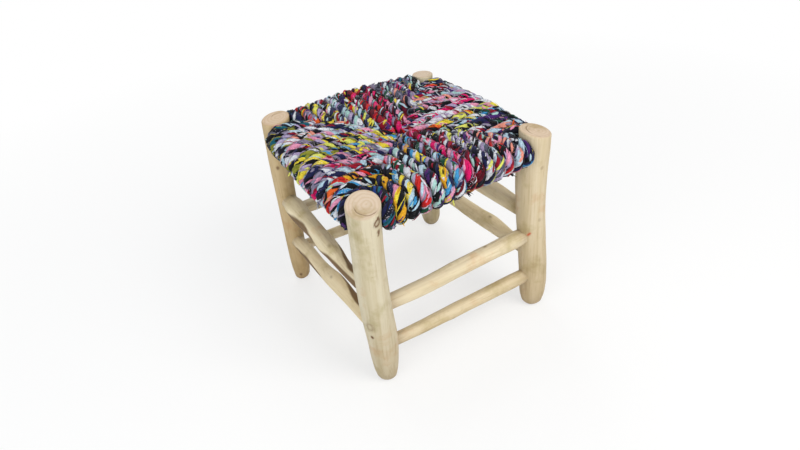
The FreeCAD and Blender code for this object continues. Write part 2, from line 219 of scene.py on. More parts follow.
# Each pole's corner and thickest radius. As shares of that radius: how far its top and its
# foot stand from the corner, and its girth and its bow at the heights above. It is sawn at
# a share of the stool's height, leaning by an angle towards another. A crack on the sawn
# top has a share of the radius, the angle of its middle and the angle it spans each way. A
# knot has a height, an angle, a size and a strength, and the scar a height, an angle, half
# a length and half a width.
legs = {
    "front_left_leg": {
        "corner": (-1, -1), "radius": 0.0224, "top": (-0.16, -0.11), "foot": (0.08, -0.19),
        "girth": (0.42, 0.58, 0.70, 0.835, 0.94, 0.973, 0.96, 0.93, 0.97, 1.04),
        "bow": (0.0, 0.0, 0.0, 0.01, 0.013, -0.12, -0.165, -0.13, -0.08, 0.0),
        "saw": (0.986, 19.0, -119.0), "cracks": ((0.70, -128.0, 78.0),),
        "knots": ((0.2925, -70, 0.0022, 1.0), (0.2845, -73, 0.0046, 1.0),
                  (0.2690, -69, 0.0034, 0.9), (0.2640, -71, 0.0022, 0.8),
                  (0.116, -150, 0.0050, 0.35), (0.097, -150, 0.0027, 1.3))},
    "front_right_leg": {
        "corner": (1, -1), "radius": 0.0226, "top": (-0.06, 0.11), "foot": (0.22, -0.15),
        "girth": (0.49, 0.655, 0.79, 0.90, 0.94, 0.95, 0.955, 0.99, 0.965, 0.99),
        "bow": (0.0, 0.01, 0.02, 0.06, 0.035, -0.08, -0.20, -0.17, -0.02, 0.02),
        "saw": (1.008, 12.0, -29.0), "cracks": ((0.74, 150.0, 55.0), (0.80, -112.0, 42.0)),
        "scar": (0.1465, -139.0, 0.0042, 0.0018),
        "knots": ((0.258, -96, 0.0030, 0.35), (0.170, -94, 0.0030, 0.3), (0.060, 60, 0.0035, 0.8))},
    "back_right_leg": {
        "corner": (1, 1), "radius": 0.0176, "top": (-0.12, -0.05), "foot": (-0.01, 0.07),
        "girth": (0.51, 0.715, 0.90, 1.0, 1.0, 0.977, 0.966, 0.955, 0.955, 0.966),
        "bow": (0.0, 0.0, 0.0, -0.02, -0.02, -0.04, -0.06, -0.09, -0.115, -0.09),
        "saw": (0.992, 3.0, 60.0), "cracks": ((0.5, 40.0, 30.0),),
        "knots": ((0.21, 50, 0.0032, 0.9), (0.11, 20, 0.0028, 0.6))},
    "back_left_leg": {
        "corner": (-1, 1), "radius": 0.0218, "top": (0.24, 0.13), "foot": (-0.16, 0.20),
        "girth": (0.37, 0.52, 0.615, 0.67, 0.70, 0.715, 0.73, 0.835, 0.945, 1.0),
        "bow": (0.05, 0.08, 0.09, 0.03, -0.02, -0.10, -0.20, -0.20, -0.12, -0.05),
        "saw": (1.0, 8.0, 180.0), "cracks": ((0.62, 80.0, 50.0),),
        "knots": ((0.228, -128, 0.0030, 0.8), (0.014, -121, 0.0030, 0.7), (0.15, 100, 0.0030, 0.6))},
}
print("poles:", len(legs), "radii:", [leg["radius"] for leg in legs.values()])


# %% The line and the girth of a pole
def curve_through(places, values, at):
    """A smooth curve through a table's values, read at one place or many."""
    places, values = np.array(places, float), np.array(values, float)
    slopes = np.gradient(values, places)
    at = np.clip(at, places[0], places[-1])
    i = np.clip(np.searchsorted(places, at, side="right") - 1, 0, len(places) - 2)
    gap = places[i + 1] - places[i]
    t = (at - places[i]) / gap
    return ((2 * t ** 3 - 3 * t ** 2 + 1) * values[i] + (t ** 3 - 2 * t ** 2 + t) * gap * slopes[i]
            + (3 * t ** 2 - 2 * t ** 3) * values[i + 1] + (t ** 3 - t ** 2) * gap * slopes[i + 1])


def leg_middle(leg, height):
    """The middle of a pole at a height."""
    share = height / stool_height
    bow = curve_through(height_shares, leg["bow"], share)
    drift = [foot + (top - foot) * share for foot, top in zip(leg["foot"], leg["top"])]
    drift_x, drift_y = drift[0] + bow * math.cos(bow_heading), drift[1] + bow * math.sin(bow_heading)
    return np.array((leg["corner"][0] * half_x + drift_x * leg["radius"],
                     leg["corner"][1] * half_y + drift_y * leg["radius"], height))


def leg_radius(leg, height):
    return leg["radius"] * curve_through(height_shares, leg["girth"], height / stool_height)


print("near pole at mid-height:", leg_middle(legs["front_left_leg"], 0.15).round(4))

# %% [markdown]
# A skin joins rings of points into a closed tube. The points come as arrays, ring after
# ring, which is quick and gives even quads. A knot, a saw cut, or dirt and painted shade near
# a joint belongs to a place on the wood, and a texture can't know where that is, so such
# marks are painted on the points: red for dark, green for sawn wood, and blue for two things.
# On a sawn top blue is the distance from the pith, and elsewhere it falls from 1 where there
# is a stain: the scar on a pole, and bark with painted shade on the left rungs.

# %% Skins over rings
def tube_faces(first, count, around):
    """The faces of a tube over rings of points that are numbered from first."""
    index = first + np.arange(count * around).reshape(count, around)
    beside = np.roll(index, -1, axis=1)
    quads = np.stack((index[:-1], beside[:-1], beside[1:], index[1:]), axis=-1).reshape(-1, 4)
    return quads.tolist() + [index[0][::-1].tolist(), index[-1].tolist()]


def painted_mesh(name, points, faces, layer, domain, colours):
    """A smooth mesh object with colours painted on its points or on its faces' corners."""
    mesh = bpy.data.meshes.new(name)
    mesh.from_pydata(points.tolist(), [], faces)
    mesh.polygons.foreach_set("use_smooth", np.ones(len(faces), bool))
    paint = mesh.color_attributes.new(layer, "FLOAT_COLOR", domain)
    paint.data.foreach_set("color", colours.ravel())
    mesh.update()
    return put_in_scene(name, mesh)


def skin(name, rings, marks):
    """A mesh object over rings of points, with its marks painted on the points."""
    count, around = rings.shape[:2]
    paint = np.ones((count * around, 4))
    paint[:, :3] = marks.reshape(-1, 3)
    return painted_mesh(name, rings.reshape(-1, 3), tube_faces(0, count, around),
                        "marks", "POINT", paint)


print("a tube of 3 rings of 8 points has", len(tube_faces(0, 3, 8)), "faces")

# %% Noise and turns on a ring
seed_stride = 17.31


def wander(points, scale, seed):
    """Smooth noise at many points, from -1 to 1. Each seed reads another part of it."""
    flat = points.reshape(-1, 3) * scale + seed * seed_stride
    values = [noise.noise(Vector(p)) for p in flat.tolist()]
    return np.array(values).reshape(points.shape[:-1])


def ring_noise(turns, spread, height, seed):
    """Smooth noise round a ring. It changes more round the ring with a larger spread."""
    spots = np.stack((np.cos(turns) * spread, np.sin(turns) * spread,
                      np.full(len(turns), height)), axis=-1)
    return wander(spots, 1, seed)


def turn_from(turns, degrees):
    """How far turns lie from one that is given in degrees, the short way round."""
    return np.angle(np.exp(1j * (turns - math.radians(degrees))))


print("from 350 to 10 degrees is", round(math.degrees(turn_from(math.radians(10), 350))), "degrees")

# %% [markdown]
# A drawknife has peeled each pole, so it has long shallow flats. A knot is a low swelling
# with a dent in the middle. A thin twig's knot is dark all over, and a branch's is a dark
# ring with paler wood inside. One pole has a red scar where a twig tore off. They could be
# a bump texture, but near the edge of a pole a bump is flat, so they move the points.

# %% Knots and the scar
knot_rise, knot_dent = 0.0006, 0.0009
small_knot = 0.0035
knot_oval, dent_sharp, knot_rag = 0.8, 2.2, 0.25


def pole_knot(level, side, knot, seed):
    """A knot's swelling and its darkness on a ring, at distances to the side of it."""
    knot_level, _, size, strength = knot
    away = np.hypot(side, (level - knot_level) * knot_oval) / size
    dent = knot_dent * np.exp(-(away * dent_sharp) ** 2)
    swell = strength * (knot_rise * np.exp(-away ** 2 / 2) - dent)
    spots = np.stack((side * 600, np.full(len(side), level * 350), np.zeros(len(side))), axis=-1)
    ragged = away + knot_rag * wander(spots, 1, seed)
    if size < small_knot:
        return swell, strength * np.exp(-(ragged * 1.15) ** 4)
    ring = 0.9 * np.exp(-((ragged - 0.9) * 3.4) ** 2)
    return swell, strength * (ring + 0.25 * np.exp(-(ragged * 0.7) ** 4))


def scar_share(leg, level, turns, radius):
    """How much of each point of a ring lies in the scar, which slants up the pole."""
    if "scar" not in leg:
        return np.zeros(len(turns))
    scar_level, scar_turn, half_length, half_width = leg["scar"]
    side, rise = turn_from(turns, scar_turn) * radius, level - scar_level
    along, across = (side + rise) * 0.71, (rise - side) * 0.71
    return np.exp(-(along / half_length) ** 4 - (across / half_width) ** 2)


print("knots:", sum(len(leg["knots"]) for leg in legs.values()))

# %% [markdown]
# The rings of the shaft go up from the foot. Its lowest part is dark from standing on the
# ground. Near the top the rings tilt little by little, until the last one lies in the
# plane of the saw cut, so that the cut needs no boolean and the quads stay even.

# %% The shaft of a pole
pole_around = 128
rim = 0.0024
tilt_length = 0.06
flat_deep, ripple_deep = 0.0007, 0.00018
foot_dirt, foot_dirt_height = 0.35, 0.012
pole_turns = np.linspace(0, 2 * math.pi, pole_around, endpoint=False)
pole_out = np.stack((np.cos(pole_turns), np.sin(pole_turns), np.zeros(pole_around)), axis=-1)


def saw_cut(leg):
    """The height of a pole's saw cut and its slope along X and Y."""
    lean, heading = (math.radians(a) for a in leg["saw"][1:])
    slope = np.array((math.cos(heading), math.sin(heading), 0)) * -math.tan(lean)
    return leg["saw"][0] * stool_height, slope


def shaft_ring(leg, level, seed):
    """A ring of a pole's shaft at a height, and its marks."""
    radius = leg_radius(leg, level)
    flats = ring_noise(pole_turns, 1.1, level * 9, seed) * flat_deep
    ripples = ring_noise(pole_turns, 4, level * 30, seed + 3) * ripple_deep
    swell = flats + ripples
    dark = np.full(pole_around, math.exp(-level / foot_dirt_height) * foot_dirt)
    for knot in leg["knots"]:
        side = turn_from(pole_turns, knot[1]) * radius
        swelling, darkness = pole_knot(level, side, knot, seed + 9)
        swell += swelling
        dark += darkness
    ring = leg_middle(leg, level) + pole_out * (radius + swell)[:, None]
    high, slope = saw_cut(leg)
    tilt = np.clip((level - high + tilt_length) / tilt_length, 0, 1) ** 2
    ring[:, 2] += tilt * (pole_out @ slope) * radius
    stain_and_shade = scar_share(leg, level, pole_turns, radius)
    return ring, np.stack((np.clip(dark, 0, 1), np.zeros(pole_around), 1 - stain_and_shade), axis=-1)


print("slope of the near pole's saw cut:", saw_cut(legs["front_left_leg"])[1].round(2))

# %% [markdown]
# A sawn top shows year rings about the pith, which is never in the middle. The saw's sharp
# rim has been rubbed round, and drying has opened a crack along one year ring. A picture of
# end grain could be laid on a flat cap, but then the crack would have no depth. So the
# skin's rings go on over the rim and in over the face, where the crack is a real groove,
# and the material draws the years from each point's distance to the pith.

# %% The rim of a sawn top
rim_steps = 5
rim_dark = 0.05


def rim_rings(leg):
    """The rings over the rounded rim of a pole's top, and their marks."""
    high, slope = saw_cut(leg)
    radius, middle = leg_radius(leg, high), leg_middle(leg, high)
    for turn in np.linspace(0.2, 1, rim_steps) * math.pi / 2:
        reach = radius - rim * (1 - math.cos(turn))
        ring = middle + pole_out * reach
        ring[:, 2] += (pole_out @ slope) * reach - rim * (1 - math.sin(turn))
        yield ring, np.tile((rim_dark, math.sin(turn) ** 3, reach / radius), (pole_around, 1))


print("the near pole is sawn at", round(saw_cut(legs["front_left_leg"])[0], 4), "m")

# %% The sawn face
pith_shares = (0.15, -0.1, 0)
year_bend, year_ripple = 0.0007, 0.0003
crack_deep, crack_wide, crack_fade, crack_dark = 0.0009, 0.00046, 25, 0.85
grit_deep = 0.00008
face_steps = 60


def face_rings(leg, seed):
    """The rings in over a pole's sawn face, and their marks."""
    high, slope = saw_cut(leg)
    radius, middle = leg_radius(leg, high), leg_middle(leg, high)
    pith = np.array(pith_shares) * radius
    for share in np.linspace(0.99, 0.02, face_steps):
        spread = pole_out * (radius - rim) * share
        from_pith = np.linalg.norm(spread - pith, axis=1)
        bearing = np.arctan2((spread - pith)[:, 1], (spread - pith)[:, 0])
        wobble = year_bend * np.sin(bearing * 2 + seed) + year_ripple * np.sin(bearing * 7)
        crack = np.zeros(pole_around)
        for crack_share, crack_middle, crack_half in leg["cracks"]:
            off = np.degrees(np.abs(turn_from(bearing, crack_middle)))
            on_ring = np.exp(-((from_pith + wobble - crack_share * radius) / crack_wide) ** 2)
            crack = np.maximum(crack, on_ring * np.clip((crack_half - off) / crack_fade, 0, 1))
        ring = middle + spread
        grit = wander(ring, 700, seed) * grit_deep
        ring[:, 2] += spread @ slope - crack * crack_deep + grit
        yield ring, np.stack((crack * crack_dark, np.ones(pole_around), from_pith / radius),
                             axis=-1)


print("cracks:", sum(len(leg["cracks"]) for leg in legs.values()))

# %% The poles
foot_steps, low_steps, shaft_steps = 8, 14, 270
low_part = 0.02
foot_dark = 0.25


def foot_rings(leg):
    """The rings out over the flat of a pole's foot, and their marks."""
    for share in np.linspace(0.05, 1, foot_steps)[:-1]:
        ring = leg_middle(leg, 0.0) + pole_out * leg_radius(leg, 0.0) * share
        yield ring, np.tile((foot_dark, 1.0, share), (pole_around, 1))


def pole_rings(leg, seed):
    """The rings of a pole from its foot to the middle of its sawn top, and their marks."""
    high = saw_cut(leg)[0]
    levels = np.concatenate((np.linspace(0, low_part, low_steps)[:-1],
                             np.linspace(low_part, high - rim, shaft_steps)))
    pairs = list(foot_rings(leg))
    pairs += [shaft_ring(leg, level, seed) for level in levels]
    pairs += list(rim_rings(leg)) + list(face_rings(leg, seed))
    return (np.array(column) for column in zip(*pairs))


poles = {}
for seed, (name, leg) in enumerate(legs.items()):
    rings, marks = pole_rings(leg, seed + 1)
    poles[name] = skin(name.replace("_leg", "_pole"), rings, marks)
    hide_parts(name)
    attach(poles[name], "root")
print("poles:", len(poles), "points each:", len(rings) * pole_around)

# %% [markdown]
# The rungs are thinner and rougher: split sticks, shaved down with a knife, so their flats
# are stronger and they wander. A straight cylinder with a bump would look machined, so they
# are skinned over rings too, square to the line from pole to pole, and run a little way
# into each pole so that no gap shows. Two of them have brown strips in the hollows that the
# knife didn't reach, as the photograph shows: partly bark and partly painted shade between
# the rungs and the poles. It is a mark on the points, like a knot.

# %% The numbers of the rungs, nearly as in the CAD
# Each rung's two poles, its height as a share of the stool's, its thickest radius, and as
# shares of that radius how far its ends stand above that height and its stations: place,
# girth, lift and sway. The two on the left are a little fuller here than in the CAD. A knot
# has a place, an angle, a size and a strength. A brown strip of bark and painted shade lies
# about an angle, with its half width in degrees at places along the rung.
front, back_pair = ("front_left_leg", "front_right_leg"), ("back_left_leg", "back_right_leg")
left, right_pair = ("front_left_leg", "back_left_leg"), ("front_right_leg", "back_right_leg")
rungs = {
    "front_upper_rung": {
        "legs": front, "height": 0.4375, "radius": 0.0126, "ends": (-0.16, 0.24),
        "stations": ((0.0, 0.84, 0.0, 0.0), (0.09, 0.87, -0.08, 0.0), (0.27, 0.90, -0.22, 0.05),
                     (0.50, 0.94, -0.12, 0.08), (0.78, 0.97, -0.02, 0.03), (0.94, 1.0, 0.0, 0.0),
                     (1.0, 0.95, 0.0, 0.0)),
        "knots": ((0.72, 80, 0.0035, 0.8), (0.965, 20, 0.0030, 1.0))},
    "front_lower_rung": {
        "legs": front, "height": 0.1957, "radius": 0.0110, "ends": (0.14, -0.04),
        "stations": ((0.0, 0.82, 0.0, 0.0), (0.08, 0.84, -0.04, 0.0), (0.28, 0.91, -0.12, 0.06),
                     (0.52, 0.94, -0.10, 0.05), (0.80, 1.0, -0.02, 0.0), (0.94, 1.0, 0.0, 0.0),
                     (1.0, 0.96, 0.0, 0.0)),
        "knots": ((0.4, 200, 0.0030, 0.6),)},
    "back_upper_rung": {
        "legs": back_pair, "height": 0.4408, "radius": 0.0116, "ends": (-0.10, 0.10),
        "stations": ((0.0, 0.84, 0.0, 0.0), (0.10, 0.90, 0.03, 0.0), (0.35, 0.96, 0.12, 0.05),
                     (0.62, 1.0, 0.08, 0.02), (0.90, 0.93, 0.0, 0.0), (1.0, 0.84, 0.0, 0.0)),
        "knots": ((0.6, 60, 0.0032, 0.7),)},
    "back_lower_rung": {
        "legs": back_pair, "height": 0.2007, "radius": 0.0104, "ends": (0.10, -0.10),
        "stations": ((0.0, 0.86, 0.0, 0.0), (0.10, 0.92, -0.03, 0.0), (0.40, 1.0, -0.14, 0.05),
                     (0.66, 0.95, -0.10, 0.05), (0.90, 0.90, 0.0, 0.0), (1.0, 0.84, 0.0, 0.0)),
        "knots": ((0.3, 120, 0.0028, 0.6),)},
    "left_upper_rung": {
        "legs": left, "height": 0.5033, "radius": 0.0150, "ends": (-0.40, 0.60),
        "stations": ((0.0, 0.58, 0.0, 0.0), (0.10, 0.64, -0.06, 0.0), (0.28, 0.69, -0.24, 0.0),
                     (0.37, 0.82, -0.02, 0.0), (0.47, 0.94, -0.05, 0.0), (0.60, 0.88, 0.06, 0.0),
                     (0.78, 0.98, -0.10, 0.0), (0.95, 1.0, 0.0, 0.0), (1.0, 0.86, 0.0, 0.0)),
        "bark": ((-22, ((-0.1, 70), (0.10, 70), (0.32, 54), (0.50, 30), (0.60, 40), (0.71, 64),
                        (0.84, 46), (0.96, 20), (1.1, 10))),
                 (150, ((-0.1, 20), (0.04, 54), (0.16, 84), (0.28, 50), (0.40, 16), (0.52, 0),
                        (1.1, 0)))),
        "knots": ((0.55, -60, 0.0026, 0.9), (0.4, 70, 0.0040, 0.5))},
    "left_lower_rung": {
        "legs": left, "height": 0.2763, "radius": 0.0122, "ends": (0.05, -0.08),
        "stations": ((0.0, 0.80, 0.04, 0.0), (0.10, 0.86, 0.10, 0.0), (0.28, 0.93, 0.18, 0.0),
                     (0.46, 1.06, 0.27, 0.0), (0.64, 0.90, -0.12, 0.0), (0.90, 0.92, 0.0, 0.0),
                     (1.0, 0.86, 0.0, 0.0)),
        "bark": ((-22, ((-0.1, 0), (0.50, 0), (0.66, 34), (0.80, 58), (0.90, 44), (1.0, 24),
                        (1.1, 14))),
                 (150, ((-0.1, 20), (0.04, 54), (0.17, 84), (0.32, 50), (0.44, 24), (0.56, 0),
                        (1.1, 0)))),
        "knots": ((0.46, 60, 0.0030, 0.7),)},
    "right_upper_rung": {
        "legs": right_pair, "height": 0.5362, "radius": 0.0140, "ends": (0.32, -0.18),
        "stations": ((0.0, 0.84, 0.0, 0.0), (0.09, 0.90, 0.05, 0.0), (0.26, 1.0, 0.08, 0.0),
                     (0.50, 0.96, -0.04, 0.0), (0.88, 0.88, -0.02, 0.0), (1.0, 0.80, 0.0, 0.0)),
        "knots": ((0.25, 180, 0.0030, 0.7),)},
    "right_lower_rung": {
        "legs": right_pair, "height": 0.3141, "radius": 0.0140, "ends": (0.0, -0.10),
        "stations": ((0.0, 0.72, 0.0, 0.0), (0.10, 0.76, 0.0, 0.0), (0.32, 1.0, 0.12, 0.0),
                     (0.46, 0.94, -0.04, 0.0), (0.66, 0.84, -0.08, 0.0), (0.90, 0.80, -0.02, 0.0),
                     (1.0, 0.74, 0.0, 0.0)),
        "knots": ((0.32, 80, 0.0035, 0.8),)},
}
print("rungs:", len(rungs), "with bark:", sum("bark" in rung for rung in rungs.values()))

# %% The surface of a rung
rung_around = 56
rung_turns = np.linspace(0, 2 * math.pi, rung_around, endpoint=False)
rung_flat_deep, rung_ripple_deep = 0.0011, 0.00035
rung_knot_rise, rung_knot_dark = 0.0008, 0.8
bark_and_shade_waves, bark_and_shade_edge = 9, 11


def rung_surface(rung, place, radius, span, seed):
    """How far a rung's ring swells out, how dark it is and how much bark it has."""
    flats = ring_noise(rung_turns, 1.5, place * 2.4, seed) * rung_flat_deep
    swell = flats + ring_noise(rung_turns, 3.9, place * 9.6, seed + 5) * rung_ripple_deep
    dark, bark = np.zeros(rung_around), np.zeros(rung_around)
    for knot_place, knot_turn, size, strength in rung["knots"]:
        side = turn_from(rung_turns, knot_turn) * radius
        away = np.hypot(side, (place - knot_place) * span * 0.7) / size
        dent = np.exp(-(away * dent_sharp) ** 2)
        swell += strength * rung_knot_rise * (np.exp(-away ** 2 / 2) - dent)
        dark += strength * rung_knot_dark * np.exp(-(away * 1.6) ** 2)
    # Brown strips on the left rungs: partly bark, partly painted shade.
    for middle_turn, widths in rung.get("bark", ()):
        off = np.degrees(np.abs(turn_from(rung_turns, middle_turn)))
        waves = ring_noise(rung_turns, 3.9, place * 9.6, seed + 9) * bark_and_shade_waves
        inside = curve_through(*np.array(widths).T, place) + waves - off
        bark = np.maximum(bark, np.clip(inside / bark_and_shade_edge, 0, 1))
    return swell, dark, bark


swell = rung_surface({"knots": ()}, 0.5, 0.01, 0.2, 11)[0]
print("a bare ring's flats go from", swell.min().round(5), "to", swell.max().round(5))

# %% The line of a rung
shoulder_lead = 0.0008


def rung_line(rung):
    """A rung's start in the middle of its first pole, the way along it, how far along it
    leaves that pole, its length between the poles, and the ways aside and over."""
    first, last = (legs[name] for name in rung["legs"])
    levels = [rung["height"] * stool_height + share * rung["radius"] for share in rung["ends"]]
    start, end = leg_middle(first, levels[0]), leg_middle(last, levels[1])
    length = np.linalg.norm(end - start)
    along = (end - start) / length
    lead = leg_radius(first, levels[0]) + shoulder_lead
    span = length - lead - leg_radius(last, levels[1]) - shoulder_lead
    sideways = np.cross((0, 0, 1), along)
    sideways /= np.linalg.norm(sideways)
    return start, along, lead, span, sideways, np.cross(along, sideways)


print("the near rung's free length:", rung_line(rungs["front_upper_rung"])[3].round(4))

# %% The rungs
rung_steps = 130
into_pole = 0.006
# Darkness at the rung ends: dirt and painted shade where a rung meets a pole.
joint_dirt_and_shade, joint_dirt_and_shade_length = 0.35, 0.010
# The brown strips on the left rungs are partly bark and partly painted shade.
bark_and_shade_dark, bark_and_shade_strength = 0.05, 0.92


def rung_rings(rung, seed):
    """The rings of a rung from inside one pole to inside the other, and their marks."""
    start, along, lead, span, sideways, over = rung_line(rung)
    out = np.outer(np.cos(rung_turns), sideways) + np.outer(np.sin(rung_turns), over)
    table = np.array(rung["stations"])
    rings, marks = [], []
    for place in np.linspace(-into_pole / span, 1 + into_pole / span, rung_steps):
        girth, lift, sway = (curve_through(table[:, 0], table[:, i], place) for i in (1, 2, 3))
        middle = start + along * (lead + span * place)
        middle = middle + (over * lift + sideways * sway) * rung["radius"]
        radius = girth * rung["radius"]
        swell, dark, bark = rung_surface(rung, place, radius, span, seed)
        ends = (max(place, 0) * span, max(1 - place, 0) * span)
        # Darker towards each pole: dirt and painted shade where the rung meets the pole.
        joints = sum(math.exp(-end / joint_dirt_and_shade_length) for end in ends)
        dark += bark * bark_and_shade_dark + joints * joint_dirt_and_shade
        rings.append(middle + out * (radius + swell)[:, None])
        marks.append(np.stack((np.clip(dark, 0, 1), np.zeros(rung_around),
                               1 - bark * bark_and_shade_strength), axis=-1))
    return np.array(rings), np.array(marks)


sticks = {}
for seed, (name, rung) in enumerate(rungs.items()):
    rings, marks = rung_rings(rung, seed + 11)
    sticks[name] = skin(name.replace("_rung", "_stick"), rings, marks)
    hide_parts(name)
    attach(sticks[name], "root")
print("sticks:", len(sticks), "points each:", rung_steps * rung_around)

# %% [markdown]
# The colours of this notebook are written as a paint chart writes them, from 0 to 255,
# because they are easy to judge that way. The renderer adds light up, so each has to be
# turned into its own numbers first. Within a finish, noise gives a number at each place, a
# ramp makes it a colour, and one colour is laid over another. A photograph of the stuff
# could do all this at once, but it would bring in its own light and slide over the bends.

# %% Helpers for colours
def chart_colour(red, green, blue):
    """A colour as a paint chart writes it, from 0 to 255, turned into the renderer's own."""
    return tuple(((c / 255 + 0.055) / 1.055) ** 2.4 if c > 10 else c / 3295
                 for c in (red, green, blue))


def soft_noise(tree, place, scale, detail, roughness):
    """Cloudy noise from 0 to 1: scale is clouds per metre, detail adds finer ones."""
    return add_node(tree, "ShaderNodeTexNoise", Vector=place, Scale=scale, Detail=detail,
                    Roughness=roughness).outputs["Fac"]


def ramp(tree, source, *stops):
    """A number turned into a colour, through stops of a number and its colour."""
    node = add_node(tree, "ShaderNodeValToRGB", Fac=source)
    elements = node.color_ramp.elements
    while len(elements) < len(stops):
        elements.new(0.5)
    for element, (position, colour) in zip(elements, stops):
        element.position = position
        element.color = (*colour, 1)
    return node.outputs["Color"]


def mix(tree, how, amount, first, second):
    """A second colour over a first: MIX paints it on, MULTIPLY lays it on as a glaze."""
    node = add_node(tree, "ShaderNodeMix", {"data_type": "RGBA", "blend_type": how})
    for number, value in ((0, amount), (6, first), (7, second)):
        feed(tree, node.inputs[number], (*value, 1) if isinstance(value, tuple) else value)
    return node.outputs[2]


print("a chart's middle grey is", round(chart_colour(128, 128, 128)[0], 3), "to the renderer")

# %% [markdown]
# Peeled poplar or willow is pale cream with a little green and pink in it, and each pole
# has aged its own way. One flat colour would look like plastic, so the colour is built up
# from bands with grain, clouds and specks over them as glazes. The grain's noise is
# stretched along one axis: upright on the poles, level on the rungs. The painted marks then
# bring in the sawn wood, the stains and the dark, and with them painted shade near the
# joints and on the left rungs. These colours are linked, but gloss is
# the same all over, so roughness and specular are numbers on the shader's own sockets.

# %% The colours of the wood
# The bark colour is that of the left rungs' brown strips: partly bark, partly painted shade.
wood_charts = {
    "dull band": (204, 191, 157), "plain band": (217, 206, 176), "bright band": (225, 216, 190),
    "grain line": (190, 168, 130), "green cloud": (204, 198, 160), "pink cloud": (240, 208, 182),
    "speck": (150, 110, 70), "worn foot": (226, 216, 204), "early wood": (205, 183, 157),
    "late wood": (212, 193, 170), "darkest": (46, 27, 14), "dark": (132, 92, 56),
    "torn": (186, 74, 40), "bark": (96, 66, 27),
}
wood_colours = {name: chart_colour(*chart) for name, chart in wood_charts.items()}
bare = (1, 1, 1)
print("colours of the wood:", len(wood_colours))

# %% Peeled wood
grain_glaze, cloud_glaze, speck_glaze = 0.30, 0.55, 0.45
worn_glaze = 0.55
worn_from, worn_to = 0.02, 0.16


def wood_noises(tree, place, stretch):
    """The noise in wood: grain and bands are drawn out, blotches and specks are not."""
    drawn = add_node(tree, "ShaderNodeMapping", Vector=place, Scale=stretch).outputs[0]
    return {"grain": soft_noise(tree, drawn, scale=420.0, detail=6.0, roughness=0.62),
            "bands": soft_noise(tree, drawn, scale=95.0, detail=3.0, roughness=0.5),
            "blotch": soft_noise(tree, place, scale=22.0, detail=4.0, roughness=0.6),
            "speck": soft_noise(tree, place, scale=260.0, detail=4.0, roughness=0.7)}


def peeled_wood(tree, place, noises, clouds, specks):
    """Pale bands with lines of grain, clouds, specks and a worn foot laid over them."""
    pale = ramp(tree, noises["bands"], (0.28, wood_colours["dull band"]),
                (0.50, wood_colours["plain band"]), (0.74, wood_colours["bright band"]))
    lines = ramp(tree, noises["grain"], (0.33, wood_colours["grain line"]), (0.48, bare), (0.8, bare))
    colour = mix(tree, "MULTIPLY", grain_glaze, pale, lines)
    colour = mix(tree, "MULTIPLY", cloud_glaze, colour, clouds)
    colour = mix(tree, "MULTIPLY", speck_glaze, colour, specks)
    height = add_node(tree, "ShaderNodeSeparateXYZ", Vector=place).outputs["Z"]
    wear_and_shade = add_node(tree, "ShaderNodeMapRange", Value=height, From_Min=worn_from,
                    From_Max=worn_to, To_Min=worn_glaze, To_Max=0.0).outputs[0]
    return mix(tree, "MULTIPLY", wear_and_shade, colour, wood_colours["worn foot"])


print("a pole is worn up to", worn_to, "m")

# %% Sawn wood
year_rings, year_wobble = 27.0, 22.0
sawn_cloud_glaze, sawn_tint_glaze = 0.7, 0.5


def sawn_wood(tree, from_pith, noises, clouds, specks):
    """Year rings by a point's distance from the pith, with clouds and specks over them."""
    years = work_out(tree, "MULTIPLY", from_pith, year_rings)
    years = work_out(tree, "MULTIPLY_ADD", noises["blotch"], year_wobble, years)
    years = add_node(tree, "ShaderNodeMapRange", Value=work_out(tree, "SINE", years),
                     From_Min=-1.0, From_Max=1.0)
    colour = ramp(tree, years.outputs[0], (0.05, wood_colours["early wood"]),
                  (0.65, wood_colours["late wood"]))
    colour = mix(tree, "MULTIPLY", sawn_cloud_glaze, colour, clouds)
    return mix(tree, "MULTIPLY", speck_glaze, colour, specks)


print("year rings to a pole's radius:", round(year_rings / (2 * math.pi), 1))

# %% The whole material
grain_bump = 0.6


def wood(name, stretch, tint, stain_and_shade):
    """Peeled wood whose grain runs along the axis that has the small stretch."""
    material, tree = new_material(name)
    place = tree.nodes.new("ShaderNodeTexCoord").outputs["Object"]
    noises = wood_noises(tree, place, stretch)
    clouds = ramp(tree, noises["blotch"], (0.32, wood_colours["green cloud"]), (0.47, bare),
                  (0.58, bare), (0.72, wood_colours["pink cloud"]))
    specks = ramp(tree, noises["speck"], (0.25, wood_colours["speck"]), (0.33, bare))
    paint = add_node(tree, "ShaderNodeVertexColor", {"layer_name": "marks"}).outputs["Color"]
    marks = add_node(tree, "ShaderNodeSeparateColor", Color=paint).outputs

    peeled = peeled_wood(tree, place, noises, clouds, specks)
    peeled = mix(tree, "MULTIPLY", 1.0, peeled, tint)
    sawn = sawn_wood(tree, marks["Blue"], noises, clouds, specks)
    sawn = mix(tree, "MULTIPLY", sawn_tint_glaze, sawn, tint)
    dark = mix(tree, "MIX", noises["speck"], wood_colours["darkest"], wood_colours["dark"])
    # The stain is the scar's red on the poles, and on the side rungs the colour of bark with painted
    # shade.
    stained_and_shaded = work_out(tree, "SUBTRACT", 1.0, marks["Blue"])
    colour = mix(tree, "MIX", stained_and_shaded, peeled, wood_colours[stain_and_shade])
    colour = mix(tree, "MIX", marks["Green"], colour, sawn)
    colour = mix(tree, "MIX", marks["Red"], colour, dark)

    rough = work_out(tree, "MULTIPLY_ADD", noises["grain"], grain_bump, noises["speck"])
    bump = add_node(tree, "ShaderNodeBump", Height=rough, Strength=0.35, Distance=0.0004)
    shader = add_node(tree, "ShaderNodeBsdfPrincipled", Base_Color=colour, Roughness=0.58,
                      Specular_IOR_Level=0.32, Normal=bump.outputs[0])
    add_node(tree, "ShaderNodeOutputMaterial", Surface=shader.outputs[0])
    return material


